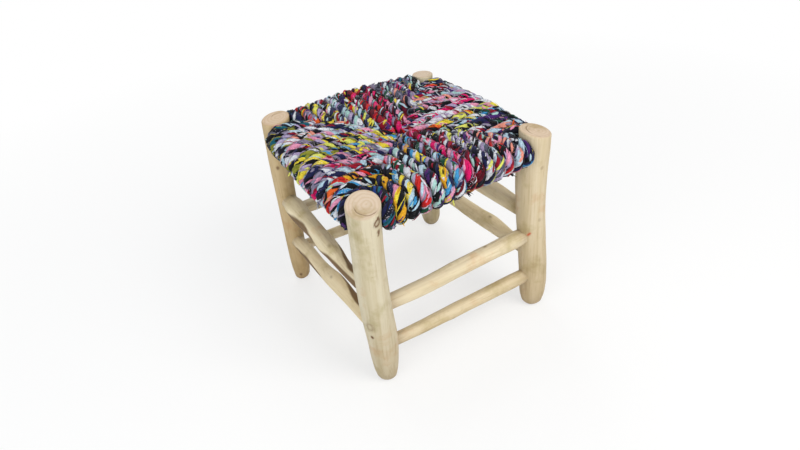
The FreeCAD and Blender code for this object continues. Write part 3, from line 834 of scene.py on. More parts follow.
upright, along_x, along_y = (1.0, 1.0, 0.045), (0.045, 1.0, 1.0), (1.0, 0.045, 1.0)
pole_wood = wood("pole_wood", upright, (0.81, 0.80, 0.79), "torn")
print("nodes in the poles' wood:", len(pole_wood.node_tree.nodes))

# %% Each stick's wood
pole_woods = {
    "front_right_leg": wood("warm_pole_wood", upright, (0.83, 0.77, 0.71), "torn"),
    "back_left_leg": wood("old_pole_wood", upright, (0.75, 0.63, 0.48), "torn"),
}
cross_wood = wood("cross_wood", along_x, (1.0, 0.96, 0.92), "torn")
# The side rungs' stain is the colour of their brown strips, partly bark and partly painted shade.
side_wood = wood("side_wood", along_y, (1.07, 1.02, 0.94), "bark")


def stick_wood(name):
    """The wood of a rung or rail, its grain along the side of the stool that it is on."""
    return cross_wood if name.startswith(("front", "back")) else side_wood


for name, piece in poles.items():
    piece.data.materials.append(pole_woods.get(name, pole_wood))
for name, piece in sticks.items():
    piece.data.materials.append(stick_wood(name))
# The seat rails are the CAD's own solids, deep in the rope. They have no painted marks, and
# to this material no mark is a stain all over, which suits old wood that hardly shows. On
# the side rails that stain is the colour of bark and painted shade.
for name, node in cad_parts.items():
    if name.endswith("_seat_rail"):
        node.data.materials.clear()
        node.data.materials.append(stick_wood(name))
print("woods:", [m.name for m in bpy.data.materials if "wood" in m.name])

# %% [markdown]
# The seat is one long rag rope. From each corner it goes over one rail, turns on the
# seat's diagonal, goes over the other rail, and comes back underneath to start the next
# loop. Seven separate loops would look much the same from above, but the rope would end
# under each rail, so here one line runs through a whole corner. It is drawn with the
# corner's own distances: u and v run in from the pole. The CAD's loops hang alike on every
# side. In the photograph they don't, so here each corner has its own droops and pulls.

# %% The numbers of the rope's line, nearly as in the CAD
# The loops of a corner, and how many of them lie level before the seat dips. A wrap's radius
# at the pole, and how much it swells by mid-rail. How far a loop leans to the round pole,
# and how many loops do. The room that is left for a bend. The rope's start and end short of
# the bend, how deep it sinks at the diagonal, and how it turns into the next loop. The
# heights between which the rope passes the pole.
rail_height = 0.280
rope_loops, level_loops = 7, 4
wrap_radius = 0.01605
underside = rail_height - wrap_radius
edge_swell = 0.0030
seat_dip = 0.010
crest_fall = 0.0012
pole_lean, leaning_loops = 0.0068, 3.5
bend_room, step_room = 0.009, 0.010
turn_step = 12
line_start, line_end, mitre_sink = 0.012, 0.001, 0.0035
next_loop_in, next_loop_up = 0.008, 0.002
passing_heights = np.linspace(0.258, 0.300, 8)

# How much lower the wraps hang than the CAD's, at the pole and at mid-rail: over the front
# or back rail, then over the side rail.
droops = {"front_left": ((0.0030, 0.0000), (0.0090, 0.0080)),
          "front_right": ((-0.0040, -0.0015), (0.0000, 0.0000)),
          "back_right": ((0.0005, 0.0005), (0.0000, 0.0000)),
          "back_left": ((0.0005, 0.0005), (0.0020, 0.0070))}
# How much lower the tops of the loops lie, in the same order.
pulls = {"front_left": ((0.0, 0.0), (0.0010, 0.0)),
         "front_right": ((0.0, 0.0), (0.0, 0.0040)),
         "back_right": ((0.0, -0.0010), (0.0040, 0.0045)),
         "back_left": ((-0.0045, -0.0025), (-0.0010, 0.0))}
print("loops per corner:", rope_loops, "underside at", underside)


# %% A loop over a rail
def over_rail(loop, droop, pull, reach):
    """A loop's way from the underside round a rail's outside and in over the seat: how far
    in from the rail, how high, and how far it leans to the pole, which is round."""
    share = loop / (rope_loops - 1)
    hang = droop[0] + (droop[1] - droop[0]) * share
    radius = wrap_radius + edge_swell * share
    centre = underside + radius
    crest = centre + radius - (pull[0] + (pull[1] - pull[0]) * share)
    dip = seat_dip * max(0, loop + 1 - level_loops) / (rope_loops - level_loops)
    level = crest - dip - crest_fall
    lean = pole_lean * max(0, 1 - loop / leaning_loops)
    points = []
    for turn in np.radians(np.arange(-90, 91, turn_step)):
        out = (radius + hang * 0.5) * math.cos(turn)
        rise = (crest - centre if turn > 0 else radius + hang) * math.sin(turn)
        points.append((-out, centre - hang * 0.3 * math.cos(turn) + rise,
                       lean * math.cos(turn) ** 1.5))
    for part in (0.25, 0.5, 0.75):
        if reach * (1 - part) > step_room:
            points.append((reach * part, crest - (crest - level) * part ** 1.5, 0))
    points.append((max(reach - bend_room, 0.002), level, 0))
    return points, level


print("points over a rail:", len(over_rail(0, (0, 0), (0, 0), 0.1)[0]))


# %% The whole line of a corner
def pole_reach(leg, axis):
    """How far in from its corner a pole stands, along X or Y, where the rope passes it."""
    half = (half_x, half_y)[axis]
    return max(half - abs(leg_middle(leg, height)[axis]) + leg_radius(leg, height)
               for height in passing_heights)


def rope_line(place):
    """The middle of a corner's rope as points u, v, z and the number of its half loop."""
    leg = legs[place + "_leg"]
    from_u, from_v = pole_reach(leg, 0), pole_reach(leg, 1)
    us = [from_u + (half_x - from_u) * (k + 0.5) / rope_loops for k in range(rope_loops)]
    vs = [from_v + (half_y - from_v) * (k + 0.5) / rope_loops for k in range(rope_loops)]
    line = [(us[0], vs[0] - line_start, underside, 0), (us[0], vs[0] * 0.3, underside, 0)]
    for k in range(rope_loops):
        first, level = over_rail(k, droops[place][0], pulls[place][0], vs[k])
        second, other_level = over_rail(k, droops[place][1], pulls[place][1], us[k])
        line += [(us[k] - lean, s, z, 2 * k) for s, z, lean in first]
        line.append((us[k], vs[k], (level + other_level) / 2 - mitre_sink, 2 * k + 0.5))
        line += [(s, vs[k] - lean, z, 2 * k + 1) for s, z, lean in reversed(second)]
        if k < rope_loops - 1:
            line += [(us[k + 1] - next_loop_in, vs[k], underside, 2 * k + 1.3),
                     (us[k + 1], vs[k], underside + next_loop_up, 2 * k + 1.5),
                     (us[k + 1], vs[k] - next_loop_in, underside, 2 * k + 1.7)]
    line.append((half_x - line_end, vs[-1], underside, 2 * rope_loops - 1))
    return np.array(line)


print("points of a corner's line:", len(rope_line("front_left")))

# %% [markdown]
# A rope can't turn a sharp corner, so the line's corners are cut again and again until it
# is a curve, and it is then divided into even steps. To twist strands about it, each step
# needs a direction that is carried along without spinning. A fixed up direction would flip
# over where the rope runs up and down round a rail.

# %% Smooth lines and their directions
step = 0.0016


def round_off(line, passes):
    """Cuts the corners of a line again and again until it is a curve."""
    for _ in range(passes):
        low = line[:-1] * 0.75 + line[1:] * 0.25
        high = line[:-1] * 0.25 + line[1:] * 0.75
        cut = np.stack((low, high), axis=1).reshape(-1, line.shape[1])
        line = np.concatenate((line[:1], cut, line[-1:]))
    return line


def even_steps(line):
    """The same line with points an even step apart, and how far along each one is."""
    run = np.concatenate(([0], np.cumsum(np.linalg.norm(np.diff(line[:, :3], axis=0), axis=1))))
    at = np.linspace(0, run[-1], int(run[-1] / step))
    return np.stack([np.interp(at, run, column) for column in line.T], axis=-1), at


def unit(vectors):
    return vectors / np.linalg.norm(vectors, axis=-1, keepdims=True)


def carried_normals(points):
    """The way ahead along a line, and normals that turn only as the line makes them."""
    ahead = unit(np.gradient(points, axis=0))
    normals = np.empty_like(points)
    normal = np.array((0.0, 0.0, 1.0))
    for i, direction in enumerate(ahead):
        normal = normal - direction * normal.dot(direction)
        normal /= np.linalg.norm(normal)
        normals[i] = normal
    return ahead, normals


print("a corner's rope is", even_steps(round_off(rope_line("front_left"), 3))[1][-1].round(2), "m long")

# %% [markdown]
# The rope is four strands twisted together, two and two of like cloth, and each strand is
# a few strips torn off old clothes. Where one strip ends, the next is tucked in. A striped
# texture would do from far off, but the strips' edges are what makes it rag rope. So each
# face of a strand gets the colour of one cloth, and a strip's ends are cut to slanting
# points, face by face. The cloths of each half loop were chosen from the photograph, and to
# go with them on the sides that it doesn't show.

# %% The cloths
cloths = {
    "ink": (12, 12, 17), "night": (20, 21, 36), "navy": (30, 34, 74), "teal": (24, 98, 116),
    "sky": (66, 150, 204), "blue": (44, 78, 160), "ice": (180, 208, 224), "mint": (168, 208, 202),
    "white": (220, 223, 230), "lilac": (174, 158, 194), "dove": (140, 132, 156),
    "grey": (92, 94, 112), "pink": (222, 22, 104), "rose": (228, 150, 180),
    "salmon": (234, 150, 132), "red": (200, 36, 34), "wine": (98, 14, 34),
    "crimson": (150, 20, 44), "orange": (230, 100, 40), "mustard": (230, 168, 36),
    "yellow": (232, 210, 64), "lemon": (220, 222, 104), "olive": (140, 142, 50),
    "leaf": (26, 78, 56), "plum": (74, 38, 108),
}

# The cloths of each half loop from the pole to mid-seat: over the front or back rail, then
# over the side rail. A stroke parts the cloths of one pair of strands from the other's.
rope_cloths = {
    "front_left": ("night navy ink/blue teal ink", "ink plum night/night ink navy",
                   "mustard yellow/navy night ink", "ice sky white/ink night ink",
                   "sky ink ice/yellow ink night", "orange mustard red/salmon yellow red",
                   "red white rose/leaf dove night", "navy night blue/white ice dove",
                   "mint white ice/ink navy plum", "crimson rose pink/navy grey dove",
                   "yellow mustard lilac/sky navy ink", "rose dove grey/navy yellow night",
                   "lilac dove wine/leaf ink sky", "yellow lemon ink/lilac sky olive"),
    "front_right": ("night navy ink/navy ice sky", "navy night ink/sky orange ice",
                    "salmon rose white/ice navy night", "orange red salmon/white navy ice",
                    "red salmon crimson/rose white ink", "night leaf navy/plum night ink",
                    "night grey ink/lemon lilac white", "plum navy night/ink plum night",
                    "white lemon ink/lilac navy night", "white ice teal/sky leaf night",
                    "night ink wine/wine crimson ink", "yellow lemon white/orange lemon rose",
                    "pink pink crimson/lilac rose wine", "white rose lilac/crimson white ink"),
    "back_right": ("mint white ice/ink navy night", "navy teal night/white dove ice",
                   "teal navy ice/grey dove ink", "orange red ink/navy mint night",
                   "dove pink ice/plum lilac", "rose white wine/lilac ink crimson",
                   "dove grey white/grey salmon night", "white navy ice/lilac crimson",
                   "leaf grey night/wine dove", "rose lilac white/ink salmon dove",
                   "crimson wine pink/rose ink leaf", "rose pink white/lilac white ink",
                   "crimson pink wine/ink red wine", "rose pink white/navy white lilac"),
    "back_left": ("teal ink night/ink navy", "ink yellow night/grey ink navy",
                  "orange red ink/grey ink dove", "white dove ink/olive teal night",
                  "yellow olive lemon/ink navy night", "ice white lilac/dove navy ink",
                  "yellow white olive/navy ink ice", "white salmon ice/ink olive night",
                  "ice white mint/lilac navy dove", "lilac dove white/rose olive ink",
                  "yellow lemon leaf/ice navy red", "white lilac yellow/navy crimson ink",
                  "red pink crimson/ink wine night", "yellow lemon leaf/lilac olive ink"),
}
common_cloths = ("ink", "ink", "ink", "night", "night", "white", "white", "ice", "dove",
                 "navy", "lilac", "yellow", "crimson", "rose", "mint", "plum")
print("cloths:", len(cloths), "half loops:", sum(len(w) for w in rope_cloths.values()))


# %% Picking a cloth
def strand_cloths(place, half_loop, strand):
    """The cloths that one strand of a half loop is torn from."""
    half_loop = min(max(int(half_loop), 0), len(rope_cloths[place]) - 1)
    return rope_cloths[place][half_loop].split("/")[strand % 2].split()


def any_cloth(chance, names):
    """The colour of one of the cloths that are named."""
    return np.array(chart_colour(*cloths[names[chance.integers(len(names))]]))


print("a strand of the near corner starts with", strand_cloths("front_left", 0, 0))

# %% The strips of a strand
columns = 18
strip_edges = (0, 7, 12, 18)
strip_length = (0.010, 0.050)
odd_strips, printed_strips = 0.22, 0.12
visible_change = 0.02


def torn_strips(chance, half_loops, place, strand):
    """The colour of each face of a strand, with the share of a print on it, and where its
    strips are tucked in."""
    count = len(half_loops)
    colours = np.zeros((count, columns, 4))
    for first, last in zip(strip_edges, strip_edges[1:]):
        across = (np.arange(first, last) + 0.5 - first) / (last - first)
        start = -int(chance.integers(30))
        while start < count:
            length = int(chance.uniform(*strip_length) / step)
            slant, point = chance.uniform(-5, 5), chance.uniform(-1, 8)
            begins = start + slant * (across - 0.5) + point * np.abs(across - 0.5) * 2
            middle = min(max(start + length // 2, 0), count - 1)
            own = strand_cloths(place, half_loops[middle], strand)
            tone = any_cloth(chance, common_cloths if chance.random() < odd_strips else own)
            printed = chance.uniform(0.3, 0.8) if chance.random() < printed_strips else 0.0
            for column, begin in zip(range(first, last), begins):
                colours[max(int(begin), 0):, column, :3] = tone * chance.uniform(0.92, 1.06)
                colours[max(int(begin), 0):, column, 3] = printed
            start += length
    changed = np.zeros((count, columns))
    changed[1:] = np.abs(np.diff(colours[:, :, 0], axis=0)) > visible_change
    tucks = changed + 0.6 * np.roll(changed, 1, axis=0) + 0.6 * np.roll(changed, -1, axis=0)
    return colours, np.clip(tucks, 0, 1)


tucks = torn_strips(np.random.default_rng(1), np.zeros(100), "front_left", 0)[1]
print("strips side by side:", len(strip_edges) - 1, "share of faces at a tuck:", tucks.mean().round(2))

# %% [markdown]
# Each strand is a tube that winds along the rope's line. Its section is an oval, because
# the four press each other flat. The rope's twist is uneven, as hands made it, and looser
# over the right rail. A strip's edges lie on lines of the mesh, so a strip can puff up
# between them and sink where it is tucked in. A bump texture gives none of this a shadow.

# %% The twist of the rope
lay, loose_lay = 0.047, 0.078
lay_gap, lay_change = 0.05, (0.75, 1.35)
Rope = namedtuple("Rope", "place points ahead normals side run half_loops squash")


def along_run(run, gap, values):
    """Values that change smoothly along a run, drawn afresh at each gap by a function."""
    at = np.arange(0, run[-1] + gap, gap)
    return np.interp(run, at, values(len(at)))


def strand_turn(rope, strand, seed):
    """How far a strand has turned about its rope at each step."""
    on_right = (np.round(rope.half_loops) % 2 == 1) & rope.place.endswith("right")
    chance = np.random.default_rng(seed // 4)
    evenness = along_run(rope.run, lay_gap, lambda count: chance.uniform(*lay_change, count))
    turns = np.gradient(rope.run) / (np.where(on_right, loose_lay, lay) * evenness)
    return strand * math.pi / 2 - np.cumsum(turns) * 2 * math.pi


print("lay of the rope:", lay, "and on the right:", loose_lay)

# %% A strand
strand_reach, strand_deep, strand_wide = 0.0039, 0.0038, 0.0045
rope_spread = 1.12
strip_roll, plump_gap = 0.11, 0.011
puff_share, plump_share, tuck_share = 0.15, 0.07, 0.10
fold_deep, crumple_deep = 0.0012, 0.0009
strip_place = np.concatenate([np.linspace(0, 1, last - first, endpoint=False)
                              for first, last in zip(strip_edges, strip_edges[1:])])


def twisted_strand(rope, strand, seed):
    """One of a rope's four strands: its rings of points and the colours of its faces."""
    chance = np.random.default_rng(seed)
    turn = strand_turn(rope, strand, seed)
    outward = (rope.normals * (np.sin(turn) * rope.squash)[:, None]
               + rope.side * (np.cos(turn) * rope_spread)[:, None])
    middle = rope.points + outward * strand_reach
    ahead = unit(np.gradient(middle, axis=0))
    outward = unit(outward - ahead * np.sum(outward * ahead, axis=1, keepdims=True))
    across = np.cross(ahead, outward)
    roll = rope.run * 2 * math.pi / strip_roll + chance.uniform(0, 6)
    bearing = np.arange(columns)[None, :] * 2 * math.pi / columns + roll[:, None]
    oval = strand_deep * strand_wide / np.hypot(strand_wide * np.cos(bearing),
                                                strand_deep * np.sin(bearing))
    plump = along_run(rope.run, plump_gap, lambda count: chance.uniform(-1, 1, count))
    puff = np.sin(math.pi * strip_place)[None, :] ** 0.7
    colours, tucks = torn_strips(chance, rope.half_loops, rope.place, strand)
    radius = oval * (0.90 + puff_share * puff + plump_share * plump[:, None] - tuck_share * tucks)
    out = (np.cos(bearing)[:, :, None] * outward[:, None, :]
           + np.sin(bearing)[:, :, None] * across[:, None, :])
    rings = middle[:, None, :] + radius[:, :, None] * out
    folds = wander(rings, 120, seed) * fold_deep + wander(rings, 330, seed + 2) * crumple_deep
    return rings + out * folds[:, :, None], colours


print("a strand is", strand_deep, "by", strand_wide, "m in radius, and", len(strip_place), "faces round")

# %% The ropes and their strands
def to_stool(corner, points):
    """A corner's u, v, z as the stool's x, y, z."""
    sign_x, sign_y = corner
    return np.stack((sign_x * (half_x - points[:, 0]), sign_y * (half_y - points[:, 1]),
                     points[:, 2]), axis=-1)


wander_amount = (0.0016, 0.0016, 0.0013)
squash_middle, squash_change = 0.94, 0.10
strands, ropes = {}, {}
for number, (name, leg) in enumerate(legs.items()):
    place = name.replace("_leg", "")
    line, run = even_steps(round_off(rope_line(place), 3))
    points = to_stool(leg["corner"], line)
    drift = np.stack([wander(points, 32, number * 5 + i) for i in range(3)], axis=-1)
    points = points + drift * wander_amount
    ahead, normals = carried_normals(points)
    ropes[place] = Rope(place, points, ahead, normals, np.cross(ahead, normals), run, line[:, 3],
                        squash_middle + squash_change * wander(points, 20, number + 60))
    strands[place] = [twisted_strand(ropes[place], strand, 40 + number * 4 + strand)
                      for strand in range(4)]
all_strands = [rings for four in strands.values() for rings, _ in four]
print("strands:", len(all_strands), "rings:", sum(len(rings) for rings in all_strands))

# %% [markdown]
# Torn cloth frays, and the photograph's seat is full of it. Hair particles could give
# threads, but not torn bits that have a width, so each bit is a thin flat tube that tapers
# to its ends. Slivers come first: pointed bits that lie on a strand and lift at their ends.
# Each starts from the strand's own points, so none of them floats.

# %% A torn ribbon
ribbon_around = 6


def ribbon(path, out, width, thick, colour):
    """A flat tapered tube along a path, its flat side facing out."""
    count = len(path)
    along = unit(np.gradient(path, axis=0))
    aside = unit(np.cross(along, out))
    above = np.cross(aside, along)
    taper = np.sin(math.pi * np.linspace(0.04, 0.96, count)) ** 0.6
    turns = np.arange(ribbon_around) * 2 * math.pi / ribbon_around
    flat = aside[:, None, :] * np.cos(turns)[None, :, None] * (width * taper)[:, None, None]
    high = above[:, None, :] * np.sin(turns)[None, :, None] * (thick * taper)[:, None, None]
    rings = path[:, None, :] + flat + high
    return rings[:, ::-1], np.tile((*colour, 0.0), (count, ribbon_around, 1))


path = np.stack((np.linspace(0, 0.01, 5), np.zeros(5), np.zeros(5)), axis=-1)
rings = ribbon(path, np.tile((0.0, 0.0, 1.0), (5, 1)), 0.001, 0.0003, (0, 0, 0))[0]
print("a ribbon 2 mm wide is", round(np.ptp(rings[2, :, 1]) * 1000, 2), "mm wide in its middle")

# %% Faded and curled
faded_tone = (0.85, 1.1)
least_lift, curled_share = 0.0002, 0.6


def faded_cloth(chance, names):
    """The colour of one of some cloths, a little darker or paler than new."""
    return any_cloth(chance, names) * chance.uniform(*faded_tone)


def curled_ends(chance, length, most, power):
    """How far each point of a bit lifts off: more than half the bits curl up at their ends."""
    share = np.linspace(-1, 1, length)
    curl = chance.uniform(0, most, 2) * (chance.random() < curled_share)
    return least_lift + np.where(share < 0, curl[0], curl[1]) * np.abs(share) ** power


print("curled ends lift", curled_ends(np.random.default_rng(1), 5, 0.0024, 3).round(4))

# %% Slivers along the strands
sliver_steps, sliver_width, sliver_thick = (4, 13), (0.0006, 0.0019), 0.00035
sliver_curl = 0.0024
own_cloth_share, own_tone = 0.55, (0.7, 1.2)


def slivers(four, chance, count):
    """Pointed bits of cloth that lie on a corner's strands and lift at their ends."""
    tubes = []
    for _ in range(count):
        rings, colours = four[chance.integers(len(four))]
        length = int(chance.uniform(*sliver_steps))
        start = int(chance.integers(2, len(rings) - length * 2 - 2))
        column, slide = chance.integers(columns), chance.uniform(-0.5, 0.5)
        rows = start + np.arange(0, length * 2, 2)
        lanes = (column + np.arange(length) * slide).round().astype(int) % columns
        on = rings[rows, lanes]
        out = unit(on - rings[rows].mean(axis=1))
        lift = curled_ends(chance, length, sliver_curl, 3)
        if chance.random() < own_cloth_share:
            colour = colours[start, column, :3] * chance.uniform(*own_tone)
        else:
            colour = faded_cloth(chance, common_cloths)
        width = chance.uniform(*sliver_width)
        tubes.append(ribbon(on + out * lift[:, None], out, width, sliver_thick, colour))
    return tubes


print("a sliver has", len(slivers(strands["front_left"], np.random.default_rng(1), 1)[0][0]), "rings")

# %% [markdown]
# Wider flaps lie across strands and over the gaps between them, and break up the rope's
# neat lay. They can't be laid on one strand's points, so the whole rope's surface is
# measured first: how far it reaches from the middle, at each step and bearing. A flap
# then follows that surface, more or less along the lay, on the side that faces outwards.

# %% The surface of a rope
bearings = 24
thinnest = 0.0045


def bearing_number(turn):
    return (turn / (2 * math.pi) * bearings).astype(int) % bearings


def rope_surface(place):
    """How far a rope's strands reach from its middle, by step along it and bearing."""
    rope = ropes[place]
    reach = np.zeros((len(rope.points), bearings))
    steps = np.repeat(np.arange(len(rope.points)), columns)
    for rings, _ in strands[place]:
        off = rings - rope.points[:, None, :]
        up = np.sum(off * rope.normals[:, None, :], axis=2)
        aside = np.sum(off * rope.side[:, None, :], axis=2)
        at = bearing_number(np.arctan2(up, aside))
        np.maximum.at(reach, (steps, at.ravel()), np.hypot(up, aside).ravel())
    return np.maximum(reach, thinnest)


print("the near rope's radius is about", rope_surface("front_left").mean().round(4))

# %% Flaps over the rope
core_reach = 0.13
least_outward = 0.1
flap_steps, flap_width, flap_thick = (4, 11), (0.0009, 0.0026), 0.00045
flap_curl = 0.0018
common_share = 0.4


def flaps(place, chance, count):
    """Short torn flaps that lie over the strands and the gaps between them."""
    rope, reach = ropes[place], rope_surface(place)
    tubes = []
    while len(tubes) < count:
        length = int(chance.integers(*flap_steps))
        rows = int(chance.integers(3, len(rope.points) - length - 3)) + np.arange(length)
        slide = -2 * math.pi * step / lay * chance.uniform(-0.3, 2.2)
        turn = chance.uniform(-math.pi, math.pi) + slide * np.arange(length)
        out = rope.side[rows] * np.cos(turn)[:, None] + rope.normals[rows] * np.sin(turn)[:, None]
        core = np.clip(rope.points[rows[0]], (-core_reach, -core_reach, rail_height),
                       (core_reach, core_reach, rail_height))
        if out[0].dot(unit(rope.points[rows[0]] - core)) < least_outward:
            continue
        at = bearing_number(turn)
        far = np.maximum(reach[rows, at], reach[rows, (at + 1) % bearings])
        far[1:-1] = np.maximum(far[1:-1], (far[:-2] + far[2:]) / 2)
        lift = curled_ends(chance, length, flap_curl, 2)
        if chance.random() < common_share:
            names = common_cloths
        else:
            names = strand_cloths(place, rope.half_loops[rows[0]], int(chance.integers(2)))
        path = rope.points[rows] + out * (far + lift)[:, None]
        width = chance.uniform(*flap_width)
        tubes.append(ribbon(path, out, width, flap_thick, faded_cloth(chance, names)))
    return tubes


print("a flap has", len(flaps("front_left", np.random.default_rng(1), 1)[0][0]), "rings")

# %% [markdown]
# Fine loose threads lie over the top of the seat, across all four corners. Each takes a
# short random walk. To rest on the rope it has to know how high the seat is at any place,
# and casting a ray for each step would be slow, so the strands' points are first sorted
# into a grid that keeps the highest in each cell.

# %% The height of the seat
cell, cells = 0.002, 170
surface = np.full((cells, cells), 0.0)
for rings in all_strands:
    flat = rings.reshape(-1, 3)
    at = np.clip(((flat[:, :2] + cell * cells / 2) / cell).astype(int), 0, cells - 1)
    np.maximum.at(surface, (at[:, 0], at[:, 1]), flat[:, 2])


def surface_height(x, y):
    at = [min(max(int((c + cell * cells / 2) / cell), 0), cells - 1) for c in (x, y)]
    return surface[at[0], at[1]]


print("height of the seat's middle:", surface_height(0, 0).round(4))

# %% Threads over the seat
thread_area = 0.14
thread_step = 0.0022
seat_edge = 0.27
thread_steps, thread_width, thread_thick = (6, 18), (0.00012, 0.0003), 0.00015
thread_lift, thread_turn, shortest = (0.0001, 0.0007), 0.6, 4


def lying_threads(chance, count):
    """Loose threads that wander over the top of the seat."""
    tubes = []
    for _ in range(count):
        x, y = chance.uniform(-thread_area, thread_area, 2)
        heading = chance.uniform(0, 2 * math.pi)
        path = []
        for _ in range(int(chance.uniform(*thread_steps))):
            height = surface_height(x, y)
            if height < seat_edge:
                break
            path.append((x, y, height + chance.uniform(*thread_lift)))
            heading += chance.uniform(-thread_turn, thread_turn)
            x += math.cos(heading) * thread_step
            y += math.sin(heading) * thread_step
        if len(path) > shortest:
            path = np.array(path)
            path[1:-1, 2] = (path[:-2, 2] + 2 * path[1:-1, 2] + path[2:, 2]) / 4 + 0.0002
            out = np.tile((0.0, 0.0, 1.0), (len(path), 1))
            width = chance.uniform(*thread_width)
            tubes.append(ribbon(path, out, width, thread_thick, faded_cloth(chance, common_cloths)))
    return tubes


print("threads of ten that lie on the seat:", len(lying_threads(np.random.default_rng(1), 10)))

# %% [markdown]
# Here and there on the seat's edge the photograph shows a tuft: the end of a rag that was
# tucked in badly and hangs out. Random places would do for slivers, but a tuft catches the
# eye, so each of the ten is given one by one. It is made of five ribbons that spread and bend,
# and it starts from the point of a strand that is nearest to its place.

# %% Torn tufts
# Each has the place that it hangs from, the way that it hangs, and its cloths.
tufts = (
    ((-0.098, -0.156, 0.266), (0.25, -0.35, -0.9), ("mustard", "yellow", "mustard")),
    ((-0.021, -0.156, 0.268), (0.3, -0.5, -0.8), ("lemon", "leaf")),
    ((-0.160, 0.036, 0.266), (-0.5, 0.1, -0.85), ("lemon", "olive", "lemon")),
    ((0.006, -0.157, 0.262), (0.6, -0.4, -0.6), ("ink", "night")),
    ((0.077, -0.155, 0.268), (0.7, -0.3, -0.6), ("ink", "ink")),
    ((-0.160, -0.040, 0.254), (-0.5, -0.3, -0.8), ("white", "ink")),
    ((0.128, -0.098, 0.303), (0.6, 0.3, 0.6), ("crimson", "orange")),
    ((0.150, 0.02, 0.285), (0.9, 0.2, -0.2), ("red", "ink")),
    ((-0.06, 0.156, 0.27), (0.1, 0.7, -0.6), ("yellow", "ink", "white")),
    ((0.157, -0.06, 0.262), (0.6, -0.1, -0.8), ("rose", "navy")),
)
print("tufts:", len(tufts))

# %% Hanging a tuft
all_points = np.concatenate([rings.reshape(-1, 3) for rings in all_strands])
tuft_ends, tuft_points = 5, 7
tuft_length, tuft_width, tuft_thick = (0.006, 0.013), (0.0006, 0.0018), 0.0004
tuft_root, tuft_spread, tuft_bend = 0.004, 0.45, 0.002


def hanging_tuft(place, way, names, chance):
    """Torn ends that hang from the strands' surface, nearest to a place."""
    tubes = []
    place = all_points[np.argmin(np.linalg.norm(all_points - place, axis=1))]
    way = np.array(way) / np.linalg.norm(way)
    share = np.linspace(0, 1, tuft_points)[:, None]
    for _ in range(tuft_ends):
        lean = way + chance.uniform(-tuft_spread, tuft_spread, 3)
        lean /= np.linalg.norm(lean)
        length = chance.uniform(*tuft_length)
        bend = chance.uniform(-tuft_bend, tuft_bend, 3) * share ** 2
        root = place - lean * tuft_root + chance.uniform(-tuft_bend, tuft_bend, 3)
        out = np.tile(unit(np.cross(lean, chance.uniform(-1, 1, 3))), (tuft_points, 1))
        width = chance.uniform(*tuft_width)
        tubes.append(ribbon(root + lean * length * share + bend, out, width, tuft_thick,
                            faded_cloth(chance, names)))
    return tubes


print("points that a tuft can hang from:", len(all_points))

# %% [markdown]
# The strands, slivers, flaps, threads and tufts of a corner are hundreds of tubes. As
# objects of their own they would be slow to handle, and they are one thing on the real
# stool, so each corner becomes one mesh. The threads and tufts, which cross the corners,
# all go with the first one. The colours are painted on the corners of the faces and not on
# the points, because two cloths meet there with a sharp edge.

# %% The four windings
def tube_mesh(name, tubes):
    """One mesh over many tubes, each face painted in its cloth's colour."""
    vertices, faces, paints, first = [], [], [], 0
    for rings, colours in tubes:
        count, around = rings.shape[:2]
        vertices.append(rings.reshape(-1, 3))
        faces += tube_faces(first, count, around)
        first += count * around
        paints.append(np.repeat(colours[:-1].reshape(-1, 4), 4, axis=0))
        paints.append(np.repeat(colours[[0, -1], 0], around, axis=0))
    return painted_mesh(name, np.concatenate(vertices), faces, "cloth", "CORNER",
                        np.concatenate(paints))


sliver_count, flap_count, thread_count = 500, 800, 260
rope_pieces = []
for number, (place, four) in enumerate(strands.items()):
    chance = np.random.default_rng(90 + number)
    tubes = list(four) + slivers(four, chance, sliver_count) + flaps(place, chance, flap_count)
    if number == 0:
        tubes += lying_threads(chance, thread_count)
        for tuft in tufts:
            tubes += hanging_tuft(*tuft, chance)
    rope_pieces.append(tube_mesh(place + "_rope", tubes))
for piece in rope_pieces:
    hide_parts("rope_seat")
    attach(piece, "root")
print("rope pieces:", len(rope_pieces), "points:", sum(len(p.data.vertices) for p in rope_pieces))

# %% [markdown]
# Torn cotton is matt and a little fuzzy at grazing angles, so it has sheen and hardly any
# gloss. Its folds are in the mesh. The weave and the small creases could be as well, but
# they are finer than its faces, so they are bump, and the creases also get painted shade
# and painted highlight: the cloth's colour is darker in them and brighter between them.
# Some cloths have a print of small dots, which a cell texture gives, as much as the paint's
# alpha says.

# %% Cloth
dot_size = 0.33
crease_shade, crease_highlight = 0.58, 1.18
dot_colour = chart_colour(214, 208, 216)
weave_bump = 0.3


